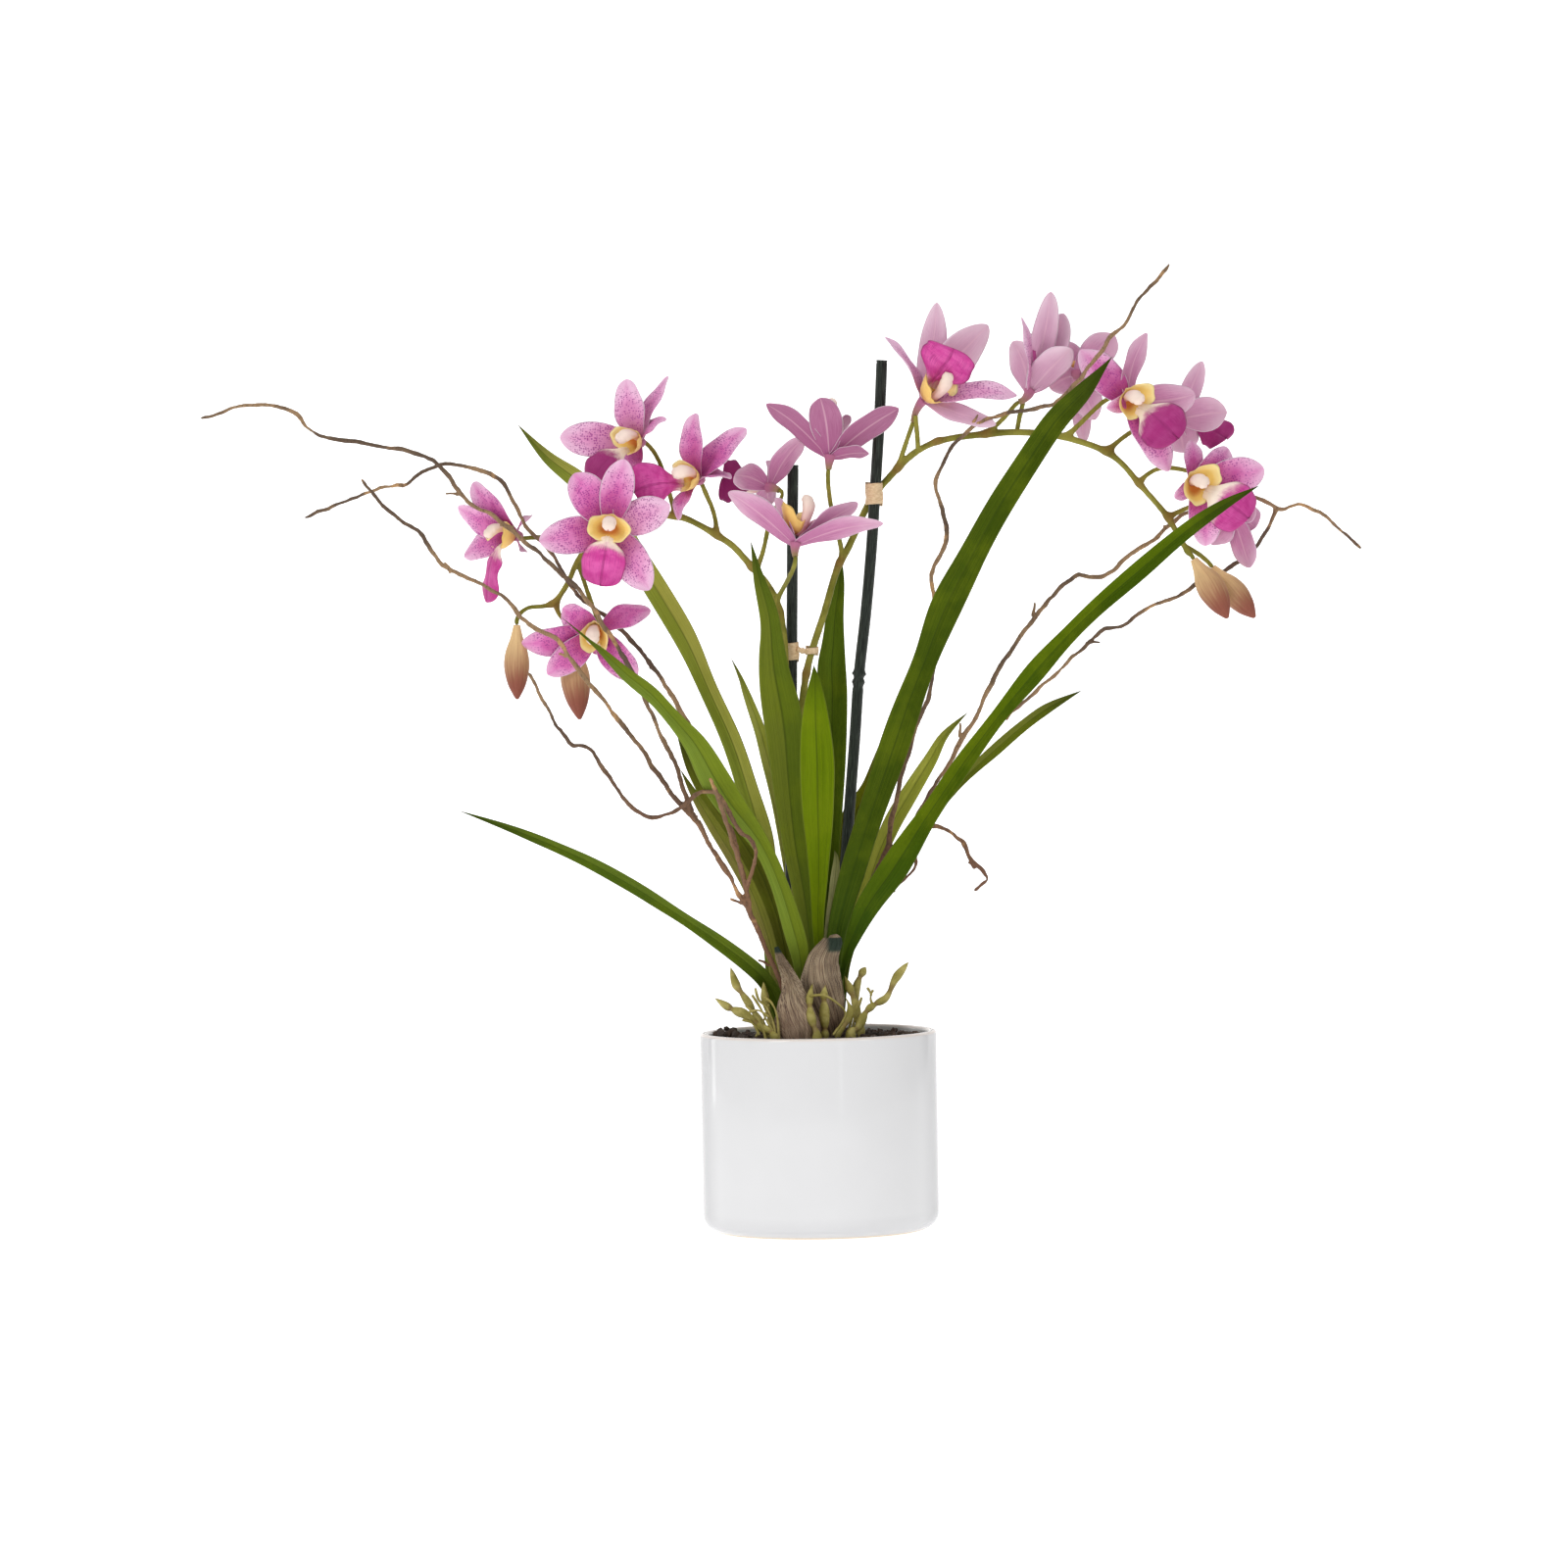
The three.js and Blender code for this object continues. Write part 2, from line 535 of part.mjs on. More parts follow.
function column(at, face, lipTip) {
  const away = vector(lipTip).normalize().multiplyScalar(-0.5);
  const lean = face.clone().add(away).normalize();
  const reach = [0, 0.5, 1].map((share) => {
    return vector(at).addScaledVector(lean, share * COLUMN_LENGTH).toArray();
  });
  return stalk(reach, [COLUMN_RADIUS, COLUMN_RADIUS], 6, 3);
}

function ovary(at, face) {
  const foot = vector(at).addScaledVector(face, -OVARY_LENGTH).toArray();
  return stalk([foot, at], [OVARY_RADIUS, CORE_RADIUS], 6, 3);
}

for (const [name, flower] of Object.entries(FLOWERS)) {
  const face = vector(flower.face).normalize();
  add(name, joined([
    ovary(flower.at, face),
    ...flower.tips.map((tip) => tepal(flower.at, face, tip)),
    lip(flower.at, face, flower.lip),
    column(flower.at, face, flower.lip),
  ]), 0xdca0cd, 0.6);
}

// Buds: closed tepals round a short foot, from the stalk end to the tip
const BUDS = {
  bud_left_1: [[-180.5, 10.5, 374], [-180.8, 9, 350], [-181, 7, 329]],
  bud_left_2: [[-146.5, 13.5, 364], [-145, 12, 340], [-143, 10, 316]],
  bud_right_1: [[235.5, 9.5, 407], [246, 6, 389], [255, 4, 371]],
  bud_right_2: [[247.5, 18.5, 402], [261, 21, 386], [273, 22, 371]],
};
for (const [name, points] of Object.entries(BUDS)) {
  const radii = [1.8, 0.55 * BUD_RADIUS, BUD_RADIUS, 0.95 * BUD_RADIUS, 0.7 * BUD_RADIUS, 1];
  add(name, stalk(points, radii, 8, 8), 0xa5785a, 0.6);
}

// Where a flower or bud meets its pedicel, and the direction from the pedicel into it
function seatOf(name) {
  if (name in BUDS) {
    const [first, second] = BUDS[name].map(vector);
    return { at: first, out: second.sub(first).normalize() };
  }
  const face = vector(FLOWERS[name].face).normalize();
  return { at: vector(FLOWERS[name].at).addScaledVector(face, -OVARY_LENGTH), out: face };
}

// Flower spikes: a main stem with a pedicel to each flower and bud. A pedicel is given up to its
// last bend; from there it runs straight to the piece that it carries.
const LEFT_STEM = [
  [-10, 31, 118], [-11, 29.5, 160], [-13, 29, 213], [-15, 28, 273], [-16, 28, 320],
  [-16, 28, 340], [-17, 28, 369], [-19, 28, 379], [-22, 28, 388], [-27, 27, 398],
  [-36, 25, 407], [-46, 22, 420], [-57, 20, 427], [-70, 18, 435], [-82, 17, 440],
  [-100, 17, 438], [-121, 17, 429], [-142, 17, 417], [-146, 15, 403], [-158, 12, 386],
];
const LEFT_PEDICELS = {
  flower_left_1: [[-21, 28, 386], [-16, 18, 395], [-12, -4, 402]],
  flower_left_2: [[-33, 25, 405], [-27, 27, 421], [-25, 24, 436]],
  flower_left_3: [[-57, 20, 427], [-58, 24, 440], [-63, 24, 452]],
  flower_left_4: [[-82, 17, 440], [-86, 26, 454], [-93, 39, 478]],
  flower_left_5: [[-112, 17, 434], [-118, 12, 435]],
  flower_left_6: [[-136, 17, 421], [-149, 20, 426], [-162, 22, 428]],
  flower_left_7: [[-143, 17, 414], [-138, 25, 396], [-132, 24, 378]],
  bud_left_1: [[-157, 12.5, 388], [-163, 11, 385], [-174, 11, 385]],
  bud_left_2: [[-156, 13, 390], [-155, 15, 379], [-149, 15, 375]],
};
const RIGHT_STEM = [
  [0, 30.5, 118], [-6, 31, 200], [-9, 31, 273], [-7, 31, 319], [-3, 31, 344], [2, 31, 360],
  [7, 31, 374], [11, 31, 386], [17, 31, 407], [20, 31.5, 411], [26, 32, 422], [32, 33, 436],
  [40, 33.5, 450], [46, 31, 457], [54, 26, 465], [64, 20, 475], [79, 15, 483], [107, 10, 486],
  [139, 8, 487], [158, 8, 483], [171, 7, 479], [183, 6, 474], [194, 5, 465], [202, 4, 454],
  [211, 4, 444], [220, 5, 433], [228, 8, 418], [233, 10, 411],
];
const RIGHT_PEDICELS = {
  flower_right_1: [[20, 31, 411], [19, 26, 422], [14, 18, 440], [12, 6, 455]],
  flower_right_2: [[55, 25, 466], [59, 19, 478]],
  flower_right_3: [[109, 10, 486], [120, 8, 495]],
  flower_right_4: [[149, 8, 485], [147, 22, 483], [150, 38, 489], [160, 44, 506]],
  flower_right_5: [[158, 8, 483], [171, 9, 495], [184, 10, 507]],
  flower_right_6: [[183, 6, 474], [195, 12, 484], [212, 17, 493]],
  flower_right_7: [[202, 4, 454], [209, 5, 461], [220, 8, 464]],
  flower_right_8: [[220, 5, 433], [230, 9, 438], [240, 9, 441]],
  bud_right_1: [[230, 8.5, 415], [232, 9.5, 410]],
  bud_right_2: [[230, 8.5, 415], [238, 15, 411]],
};

function pedicel(name, bends) {
  const seat = seatOf(name);
  const end = seat.at.clone().addScaledVector(seat.out, -SEAT_GAP);
  const before = seat.at.clone().addScaledVector(seat.out, -SEAT_GAP - PEDICEL_RUN);
  const points = [...bends, before.toArray(), end.toArray()];
  return stalk(points, [PEDICEL_RADIUS, PEDICEL_RADIUS], 5, points.length + 3);
}

function spike(stem, pedicels) {
  const main = stalk(stem, [STEM_RADIUS_FOOT, 2.2, 1.9, STEM_RADIUS_TIP], 6, stem.length + 6);
  const sides = Object.entries(pedicels).map(([name, bends]) => pedicel(name, bends));
  return joined([main, ...sides]);
}
add('flower_spike_left', spike(LEFT_STEM, LEFT_PEDICELS), 0x87834a, 0.55);
add('flower_spike_right', spike(RIGHT_STEM, RIGHT_PEDICELS), 0x87834a, 0.55);

// Aerial roots: knobbly shoots from the soil round the bulbs, from the tip to the foot
const ROOTS = {
  aerial_root_1: [[-63, -10, 144], [-52, -14, 137], [-46, -18, 135], [-35, -26, 127], [-27, -34, 122]],
  aerial_root_2: [[-53, -2, 162], [-50, -4, 152], [-46, -6, 146], [-42, -8, 140], [-38, -10, 133],
    [-32, -13, 124], [-30, -14, 122]],
  aerial_root_3: [[-33, -6, 153], [-32, -8, 142], [-28, -9, 126], [-27, -9, 122]],
  aerial_root_4: [[-3, -14, 152], [-5, -23, 143], [-4, -29, 131], [-1, -31, 122]],
  aerial_root_5: [[5, -12, 151], [4, -13, 146], [4, -15, 137], [4, -17, 127], [4, -18, 122]],
  aerial_root_6: [[17, -8, 143], [20, -9, 134], [16, -12, 126], [12, -16, 122]],
  aerial_root_7: [[17, 8, 155], [20, 5, 147], [23, 2, 139], [24, 0, 130], [24, -2, 122]],
  aerial_root_8: [[30, 16, 160], [27, 15, 155], [24, 14, 147], [24, 12, 134], [26, 10, 122]],
  aerial_root_9: [[56, 4, 163], [49, 2, 155], [44, 0, 144], [38, -3, 139], [32, -6, 137],
    [28, -9, 131], [23, -14, 123], [20, -17, 122]],
};
for (const [name, points] of Object.entries(ROOTS)) {
  const radii = [0.5, 1.9, 1.5, 2.2, 1.6, 2.1, 1.8];
  const [x, y] = points[points.length - 1];
  const seated = [...points, [x, y, SOIL_TOP + SEAT_GAP]];
  add(name, stalk(seated, radii, 6, 9), 0xa59e55, 0.6);
}

// Raffia ties: one binds the right stake to its spike, the other reaches from the left stake
function band(centre, radiusX, radiusY, thickness, height) {
  const ring = new THREE.Shape();
  ring.absellipse(0, 0, radiusX + thickness, radiusY + thickness, 0, 2 * Math.PI, false, 0);
  const hole = new THREE.Path();
  hole.absellipse(0, 0, radiusX, radiusY, 0, 2 * Math.PI, false, 0);
  ring.holes.push(hole);
  const made = new THREE.ExtrudeGeometry(ring, { depth: height, bevelEnabled: false, curveSegments: 14 });
  made.translate(centre[0], centre[1], centre[2]);
  return closed(made);
}
add('raffia_tie_right', band([41.3, 29.2, 446.5], 7.2, 8.8, 0.9, 9), 0xe4c396, 0.85);

const tieNeck = new THREE.BoxGeometry(5.2, 2.4, 5);
tieNeck.rotateZ(-0.4);
tieNeck.translate(-5.7, 33.4, 355);
add('raffia_tie_left', joined([
  band([-12.1, 36, 349], 4.1, 4.1, 1, 12),
  closed(tieNeck),
  band([0.3, 31, 352], 3.6, 3.2, 0.9, 6),
]), 0xe4c396, 0.85);

export default orchid;
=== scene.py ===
import bpy
import numpy as np
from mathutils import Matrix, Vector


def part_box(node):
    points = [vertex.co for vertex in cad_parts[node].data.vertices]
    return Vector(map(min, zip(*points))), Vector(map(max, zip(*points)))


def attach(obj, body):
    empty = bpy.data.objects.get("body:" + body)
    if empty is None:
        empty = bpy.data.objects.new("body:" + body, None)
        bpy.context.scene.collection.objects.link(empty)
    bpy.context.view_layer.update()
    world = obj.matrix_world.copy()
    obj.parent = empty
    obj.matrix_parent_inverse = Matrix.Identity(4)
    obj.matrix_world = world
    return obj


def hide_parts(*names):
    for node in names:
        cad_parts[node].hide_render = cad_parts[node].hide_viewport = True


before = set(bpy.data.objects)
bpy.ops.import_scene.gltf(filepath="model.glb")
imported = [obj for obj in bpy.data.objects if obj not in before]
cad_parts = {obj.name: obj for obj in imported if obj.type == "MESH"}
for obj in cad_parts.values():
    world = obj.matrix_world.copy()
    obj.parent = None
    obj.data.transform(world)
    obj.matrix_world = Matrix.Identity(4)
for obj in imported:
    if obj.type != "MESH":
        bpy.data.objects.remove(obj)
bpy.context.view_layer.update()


# The pot is a slip-cast cup of white stoneware with a straight wall, a soft foot corner and a
# thin rounded lip. It is glazed glossy inside and out, and only the foot it stands on is bare.
POT_WALL = 0.005
POT_FLOOR = 0.007
POT_SIDES = 160
LIP_ROUND = 0.0022
LIP_EDGE = 0.0006
FOOT_ROUND = 0.0115
FLOOR_ROUND = 0.006
BARE_FOOT_Z = (0.0004, 0.0016)
LOW_WALL_Z = (0.002, 0.014)
POT_SHADE = (172, 172, 174)
NEAR = 1e-5


def colour(red, green, blue):
    """A colour as it looks on a screen, from 0 to 255, as the light that a finish reflects."""
    light = [part / 12.92 if part <= 0.04045 else ((part + 0.055) / 1.055) ** 2.4
             for part in (red / 255, green / 255, blue / 255)]
    return (*light, 1.0)


class Value:
    """A number, colour or vector inside a finish; sums of values add the nodes that they need."""

    def __init__(self, finish, socket):
        self.finish = finish
        self.socket = socket

    def sum_of(self, operation, first, second):
        return self.finish.math(operation, first, second)

    def __add__(self, other):
        return self.sum_of("ADD", self, other)

    def __radd__(self, other):
        return self.sum_of("ADD", other, self)

    def __sub__(self, other):
        return self.sum_of("SUBTRACT", self, other)

    def __rsub__(self, other):
        return self.sum_of("SUBTRACT", other, self)

    def __mul__(self, other):
        return self.sum_of("MULTIPLY", self, other)

    def __rmul__(self, other):
        return self.sum_of("MULTIPLY", other, self)

    def __pow__(self, other):
        return self.sum_of("POWER", self, other)


class Finish:
    """The material of one kind of surface, and the nodes that paint it."""

    def __init__(self, name, **fixed):
        self.material = bpy.data.materials.new(name)
        self.material.use_nodes = True
        self.tree = self.material.node_tree
        self.shader = self.tree.nodes["Principled BSDF"]
        for socket, value in fixed.items():
            self.shader.inputs[socket.replace("_", " ")].default_value = value

    def node(self, kind, settings, sockets, out=0):
        made = self.tree.nodes.new(kind)
        for name, value in settings.items():
            setattr(made, name, value)
        for name, value in sockets.items():
            self.feed(made.inputs[name], value)
        return Value(self, made.outputs[out])

    def feed(self, socket, value):
        if isinstance(value, Value):
            self.tree.links.new(value.socket, socket)
        else:
            socket.default_value = value

    def paint(self, **painted):
        for name, value in painted.items():
            self.feed(self.shader.inputs[name.replace("_", " ")], value)

    def math(self, operation, *values):
        return self.node("ShaderNodeMath", {"operation": operation}, dict(enumerate(values)))

    def gap(self, value, middle):
        """How far a value is from a middle, without its sign."""
        return self.math("ABSOLUTE", value - middle)

    def place(self, scale=(1, 1, 1)):
        here = self.node("ShaderNodeTexCoord", {}, {}, "Object")
        return self.node("ShaderNodeMapping", {}, {"Vector": here, "Scale": scale})

    def split(self, vector):
        return [self.node("ShaderNodeSeparateXYZ", {}, {"Vector": vector}, axis) for axis in "XYZ"]

    def grid(self):
        """The shares of the way round and along a draped piece."""
        return self.split(self.node("ShaderNodeUVMap", {"uv_map": "UVMap"}, {}))[:2]

    def noted(self, name, out="Fac"):
        """The number or colour of that name that is written on the points of a piece."""
        return self.node("ShaderNodeAttribute", {"attribute_name": name}, {}, out)

    def cloud(self, where, scale, detail=3.0, roughness=0.55):
        return self.node("ShaderNodeTexNoise", {}, {"Vector": where, "Scale": scale,
                                                    "Detail": detail, "Roughness": roughness})

    def rise(self, value, low, high):
        """0 below low and 1 above high, with a soft step between."""
        return self.node("ShaderNodeMapRange", {"interpolation_type": "SMOOTHSTEP"},
                         {"Value": value, "From Min": low, "From Max": high})

    def blend(self, share, *tones):
        first, second = (colour(*tone) if isinstance(tone, tuple) else tone for tone in tones)
        return self.node("ShaderNodeMix", {"data_type": "RGBA"}, {0: share, 6: first, 7: second}, 2)

    def coated(self, base, *coats):
        """A base colour with others laid over it one by one, each by its own share."""
        for share, tone in coats:
            base = self.blend(share, base, tone)
        return base

    def bump(self, height, distance, strength=1.0):
        return self.node("ShaderNodeBump", {}, {"Height": height, "Distance": distance,
                                                "Strength": strength})


def start_clean():
    if bpy.context.object and bpy.context.object.mode != "OBJECT":
        bpy.ops.object.mode_set(mode="OBJECT")
    bpy.ops.object.select_all(action="DESELECT")


def only(piece):
    start_clean()
    piece.select_set(True)
    bpy.context.view_layer.objects.active = piece


def fitted(piece, finish, slot, *nodes):
    """Gives a finished piece its material and its place on the plant in its pot."""
    piece.data.materials.clear()
    piece.data.materials.append(finish.material)
    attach(piece, "root")
    if nodes:
        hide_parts(*nodes)


pot_radius, _, pot_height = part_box("pot")[1]

start_clean()
bpy.ops.mesh.primitive_cylinder_add(vertices=POT_SIDES, radius=pot_radius, depth=pot_height,
                                    location=(0, 0, pot_height / 2))
pot = bpy.context.object
pot.name = "glazed_pot"
bpy.ops.object.transform_apply(location=True)


def pick_faces(piece, wanted):
    """Selects the faces of a piece in edit mode for which wanted(centre, normal) is true."""
    bpy.ops.object.mode_set(mode="OBJECT")
    for face in piece.data.polygons:
        face.select = wanted(face.center, face.normal)
    bpy.ops.object.mode_set(mode="EDIT")


def pick_edges(piece, wanted):
    """Selects the edges of a piece in edit mode whose two ends both pass wanted(point)."""
    bpy.ops.object.mode_set(mode="EDIT")
    bpy.ops.mesh.select_mode(type="EDGE")
    bpy.ops.mesh.select_all(action="DESELECT")
    bpy.ops.object.mode_set(mode="OBJECT")
    points = piece.data.vertices
    for edge in piece.data.edges:
        edge.select = all(wanted(points[corner].co) for corner in edge.vertices)
    bpy.ops.object.mode_set(mode="EDIT")


def radius_of(point):
    return (point.x ** 2 + point.y ** 2) ** 0.5


bpy.ops.object.mode_set(mode="EDIT")
bpy.ops.mesh.select_mode(type="FACE")
bpy.ops.mesh.select_all(action="DESELECT")
pick_faces(pot, lambda centre, normal: normal.z > 0.9)
bpy.ops.mesh.inset(thickness=POT_WALL)
bpy.ops.mesh.extrude_region_move(
    TRANSFORM_OT_translate={"value": (0, 0, POT_FLOOR - pot_height)})
for rounding, steps, wanted in (
        (LIP_ROUND, 6, lambda point: point.z > pot_height - NEAR),
        (FOOT_ROUND, 10, lambda point: point.z < NEAR and radius_of(point) > pot_radius - 1e-4),
        (FLOOR_ROUND, 5, lambda point: abs(point.z - POT_FLOOR) < NEAR)):
    pick_edges(pot, wanted)
    bpy.ops.mesh.bevel(offset=rounding, segments=steps, profile=0.5)
bpy.ops.object.mode_set(mode="OBJECT")
bpy.ops.object.shade_smooth_by_angle(angle=0.9)

glaze = Finish("white_glaze", Specular_IOR_Level=0.12, Coat_Roughness=0.05)
across_pot, _, up_pot = glaze.split(glaze.place())
thin_lip = glaze.rise(up_pot, pot_height - LIP_ROUND, pot_height - LIP_EDGE)
bare_foot = 1 - glaze.rise(up_pot, *BARE_FOOT_Z)
# Painted shade: the glaze is painted greyer low on the wall, towards the foot.
low_wall_shade = 1 - glaze.rise(up_pot, *LOW_WALL_Z)
from_middle = across_pot * across_pot
# Painted shade: the glaze is painted greyer towards the pot's left and right sides.
painted_side_shade = glaze.rise(from_middle, 0.0036, 0.0053)
mottle = glaze.cloud(glaze.place(), 26, 2)
glaze.paint(
    Base_Color=glaze.coated(
        glaze.blend(mottle, (216, 216, 217), (221, 221, 222)),
        (painted_side_shade * 0.6, POT_SHADE),
        (low_wall_shade * 0.5, POT_SHADE),
        (thin_lip * 0.8, (233, 220, 211)),
        (bare_foot, (206, 190, 166))),
    Roughness=0.09 + mottle * 0.05 + bare_foot * 0.6,
    Coat_Weight=(0.3 - bare_foot * 0.3) * (1 - glaze.rise(from_middle, 0.004, 0.005)),
    Normal=glaze.bump(glaze.cloud(glaze.place((1, 1, 0.6)), 30, 1), 0.0006, 0.35),
)
fitted(pot, glaze, "glazed_pot", "pot")


# The soil is a damp dark bark mix, pressed in up to just under the lip, with loose crumbs and a
# few bigger lumps lying on it. It is all one fill, and the crumbs are part of it.
SOIL_GAP = 0.0003
SOIL_TOP_SHARE = 0.8
SOIL_PROFILE = np.array([[0, 0], [0.3, 0], [0.6, 0], [0.85, -0.0004], [0.97, -0.0022], [1, -0.005]])
SOIL_CRUMBS = 900
SOIL_LUMPS = [(-56, -8, 120.5, 3.8), (-52, -4, 122.5, 3.0), (-59, -12, 121, 3.2), (-50, -14, 121, 3.0),
              (-56, -2, 124.5, 2.4), (-62, 4, 120.5, 2.8), (-60, -6, 123.5, 2.0), (-47, -20, 120, 2.6),
              (-65, -14, 119.5, 2.4), (46, 10, 119, 2.8), (54, -6, 118.5, 2.6), (60, 12, 118.5, 2.4),
              (34, -30, 118.5, 2.6), (50, 2, 120, 2.0), (38, 6, 120, 2.4), (64, -8, 118.5, 2.0)]
MM = 0.001
MERGE = 1e-6
dice = np.random.default_rng(7)


def coordinates(piece, kind="co"):
    """The points of a piece, or their normals, one to a row."""
    rows = np.empty(len(piece.data.vertices) * 3)
    piece.data.vertices.foreach_get(kind, rows)
    return rows.reshape(-1, 3)


def reshaped(piece, points):
    """Moves the points of a piece to other places."""
    piece.data.vertices.foreach_set("co", np.ascontiguousarray(points).ravel())
    piece.data.update()
    return piece


def draped(name, across, along, place):
    """A grid primitive laid over a surface; place(u, v) gives the points for shares 0 to 1."""
    start_clean()
    bpy.ops.mesh.primitive_grid_add(x_subdivisions=across, y_subdivisions=along, size=1)
    piece = bpy.context.object
    piece.name = name
    u, v = (np.clip(row, 0, 1) for row in coordinates(piece).T[:2] + 0.5)
    return reshaped(piece, place(u, v))


def merged(piece):
    """Opens a piece in edit mode with its points that lie together made one."""
    only(piece)
    bpy.ops.object.mode_set(mode="EDIT")
    bpy.ops.mesh.select_all(action="SELECT")
    bpy.ops.mesh.remove_doubles(threshold=MERGE)


def sealed(piece, open_ends=False):
    """Joins the seam of a draped piece, closes any open ends and turns its faces out."""
    merged(piece)
    if open_ends:
        bpy.ops.mesh.select_all(action="DESELECT")
        bpy.ops.mesh.select_mode(type="EDGE")
        bpy.ops.mesh.select_non_manifold()
        bpy.ops.mesh.fill()
        bpy.ops.mesh.select_all(action="SELECT")
    bpy.ops.mesh.normals_make_consistent(inside=False)
    bpy.ops.object.mode_set(mode="OBJECT")
    bpy.ops.object.shade_smooth()
    return piece


def lumps(points, size, seed=0):
    """A soft random height from -1 to 1 at each point, for lumps of about that size."""
    total = np.zeros(len(points))
    wave = np.random.default_rng(seed)
    for _ in range(9):
        lean = wave.normal(size=3)
        lean *= 2 * np.pi / (size * np.linalg.norm(lean)) * wave.uniform(0.6, 1.5)
        total += np.sin(points @ lean + wave.uniform(0, 2 * np.pi))
    return total / 5


soil_low, soil_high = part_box("soil")
soil_radius = soil_high[0] - SOIL_GAP
soil_top = soil_high[2]


def soil_surface(u, v):
    turn = 2 * np.pi * u
    share = np.clip(v / SOIL_TOP_SHARE, 0, 1)
    radius = soil_radius * share
    height = soil_top + np.interp(share, SOIL_PROFILE[:, 0], SOIL_PROFILE[:, 1])
    flat = np.stack([radius * np.cos(turn), radius * np.sin(turn), height], axis=1)
    uneven = lumps(flat, 0.022, 3) * 0.0012 + lumps(flat, 0.007, 4) * 0.0006
    height = height + uneven * (1 - share ** 8)
    below = v > SOIL_TOP_SHARE + 1e-6
    drop = np.clip((v - SOIL_TOP_SHARE) / 0.15, 0, 1)
    radius = np.where(below, soil_radius * np.where(v > 0.97, 0, 1 - 0.1 * drop ** 6), radius)
    height = np.where(below, soil_top - 0.005 - drop * (soil_top - soil_low[2] - 0.007), height)
    return np.stack([radius * np.cos(turn), radius * np.sin(turn), height], axis=1)


soil = sealed(draped("soil_fill", 120, 60, soil_surface))


def scattered(name, places, sizes, rough):
    """Small balls as one mesh, each with its own turn, stretch and dents."""
    start_clean()
    bpy.ops.mesh.primitive_ico_sphere_add(subdivisions=2, radius=1)
    ball = bpy.context.object
    shape = coordinates(ball)
    faces = [tuple(face.vertices) for face in ball.data.polygons]
    points = []
    polygons = []
    for index, (place, size) in enumerate(zip(places, sizes)):
        turn, _ = np.linalg.qr(dice.normal(size=(3, 3)))
        turn *= np.sign(np.linalg.det(turn))
        stretch = dice.uniform(0.55, 1.2, size=3)
        seed = int(dice.integers(1000))
        dents = 1 + rough * lumps(shape, 1.3, seed) + rough * 0.6 * lumps(shape, 0.5, seed + 1)
        points.append(((shape * dents[:, None] * stretch) @ turn) * size + place)
        start = index * len(shape)
        polygons += [tuple(corner + start for corner in face) for face in faces]
    mesh = bpy.data.meshes.new(name)
    mesh.from_pydata(np.concatenate(points).tolist(), [], polygons)
    piece = bpy.data.objects.new(name, mesh)
    bpy.context.collection.objects.link(piece)
    bpy.data.objects.remove(ball)
    return piece


crumb_turn = dice.uniform(0, 2 * np.pi, SOIL_CRUMBS)
crumb_reach = (soil_radius - 0.003) * np.sqrt(dice.uniform(0, 1, SOIL_CRUMBS))
crumb_size = dice.uniform(0.0006, 0.0019, SOIL_CRUMBS)
crumb_places = np.stack([crumb_reach * np.cos(crumb_turn), crumb_reach * np.sin(crumb_turn),
                         soil_top + crumb_size * dice.uniform(0.2, 0.9, SOIL_CRUMBS)], axis=1)
big_lumps = np.array(SOIL_LUMPS) * MM
crumbs = scattered("soil_crumbs", np.concatenate([crumb_places, big_lumps[:, :3]]),
                   np.concatenate([crumb_size, big_lumps[:, 3]]), 0.3)
only(crumbs)
bpy.ops.object.shade_smooth_by_angle(angle=0.7)

soil_mix = Finish("damp_bark_mix")
grit = soil_mix.cloud(soil_mix.place(), 420, 4, 0.7)
patch = soil_mix.rise(soil_mix.cloud(soil_mix.place(), 90, 2), 0.4, 0.62)
soil_mix.paint(
    Base_Color=soil_mix.coated(soil_mix.blend(grit, (28, 24, 22), (96, 82, 72)),
                               (patch * 0.8, (86, 64, 50))),
    Roughness=0.98 - grit * 0.25,
    Normal=soil_mix.bump(grit, 0.0015, 0.9),
)
fitted(soil, soil_mix, "soil", "soil")
fitted(crumbs, soil_mix, "soil")


# The two pseudobulbs are swollen stem bases wrapped in dry grey-brown sheaths of coarse fibre.
# The big one ends in a cut green stub, the small one in a torn, twisted neck.
BULB_FIBRE = 0.00028
BULB_SHEATH = 0.0009
BULB_GRID = (200, 70)
LOW_HUSK_Z = (0.122, 0.15)
CUT_LOW_Z = (0.169, 0.172)
CUT_HIGH_Z = (0.1788, 0.1796)
NECK_LOW_Z = (0.17, 0.1722)
BULB_FIBRES = ((31, 0.4, 1), (47, 2.1, 1.3), (73, 1.2, 1.8), (13, 0.9, 1.1))


def rings_of(node):
    """The cross sections of an unbranched CAD piece, from the end far from its foot to the foot."""
    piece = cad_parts[node]
    keys = {}
    spots = [keys.setdefault(tuple(np.round(point, 6)), len(keys)) for point in coordinates(piece)]
    where = np.array(list(keys))
    near = [set() for _ in where]
    for edge in piece.data.edges:
        first, second = (spots[corner] for corner in edge.vertices)
        near[first].add(second)
        near[second].add(first)

    def layers(start):
        seen = {start}
        layer = [start]
        found = []
        while layer:
            found.append(layer)
            layer = sorted({far for here in layer for far in near[here]} - seen)
            seen |= set(layer)
        return found

    lowest = int(np.argmin(where[:, 2]))
    tip = layers(lowest)[-1][0]
    return [where[layer] for layer in layers(tip)]


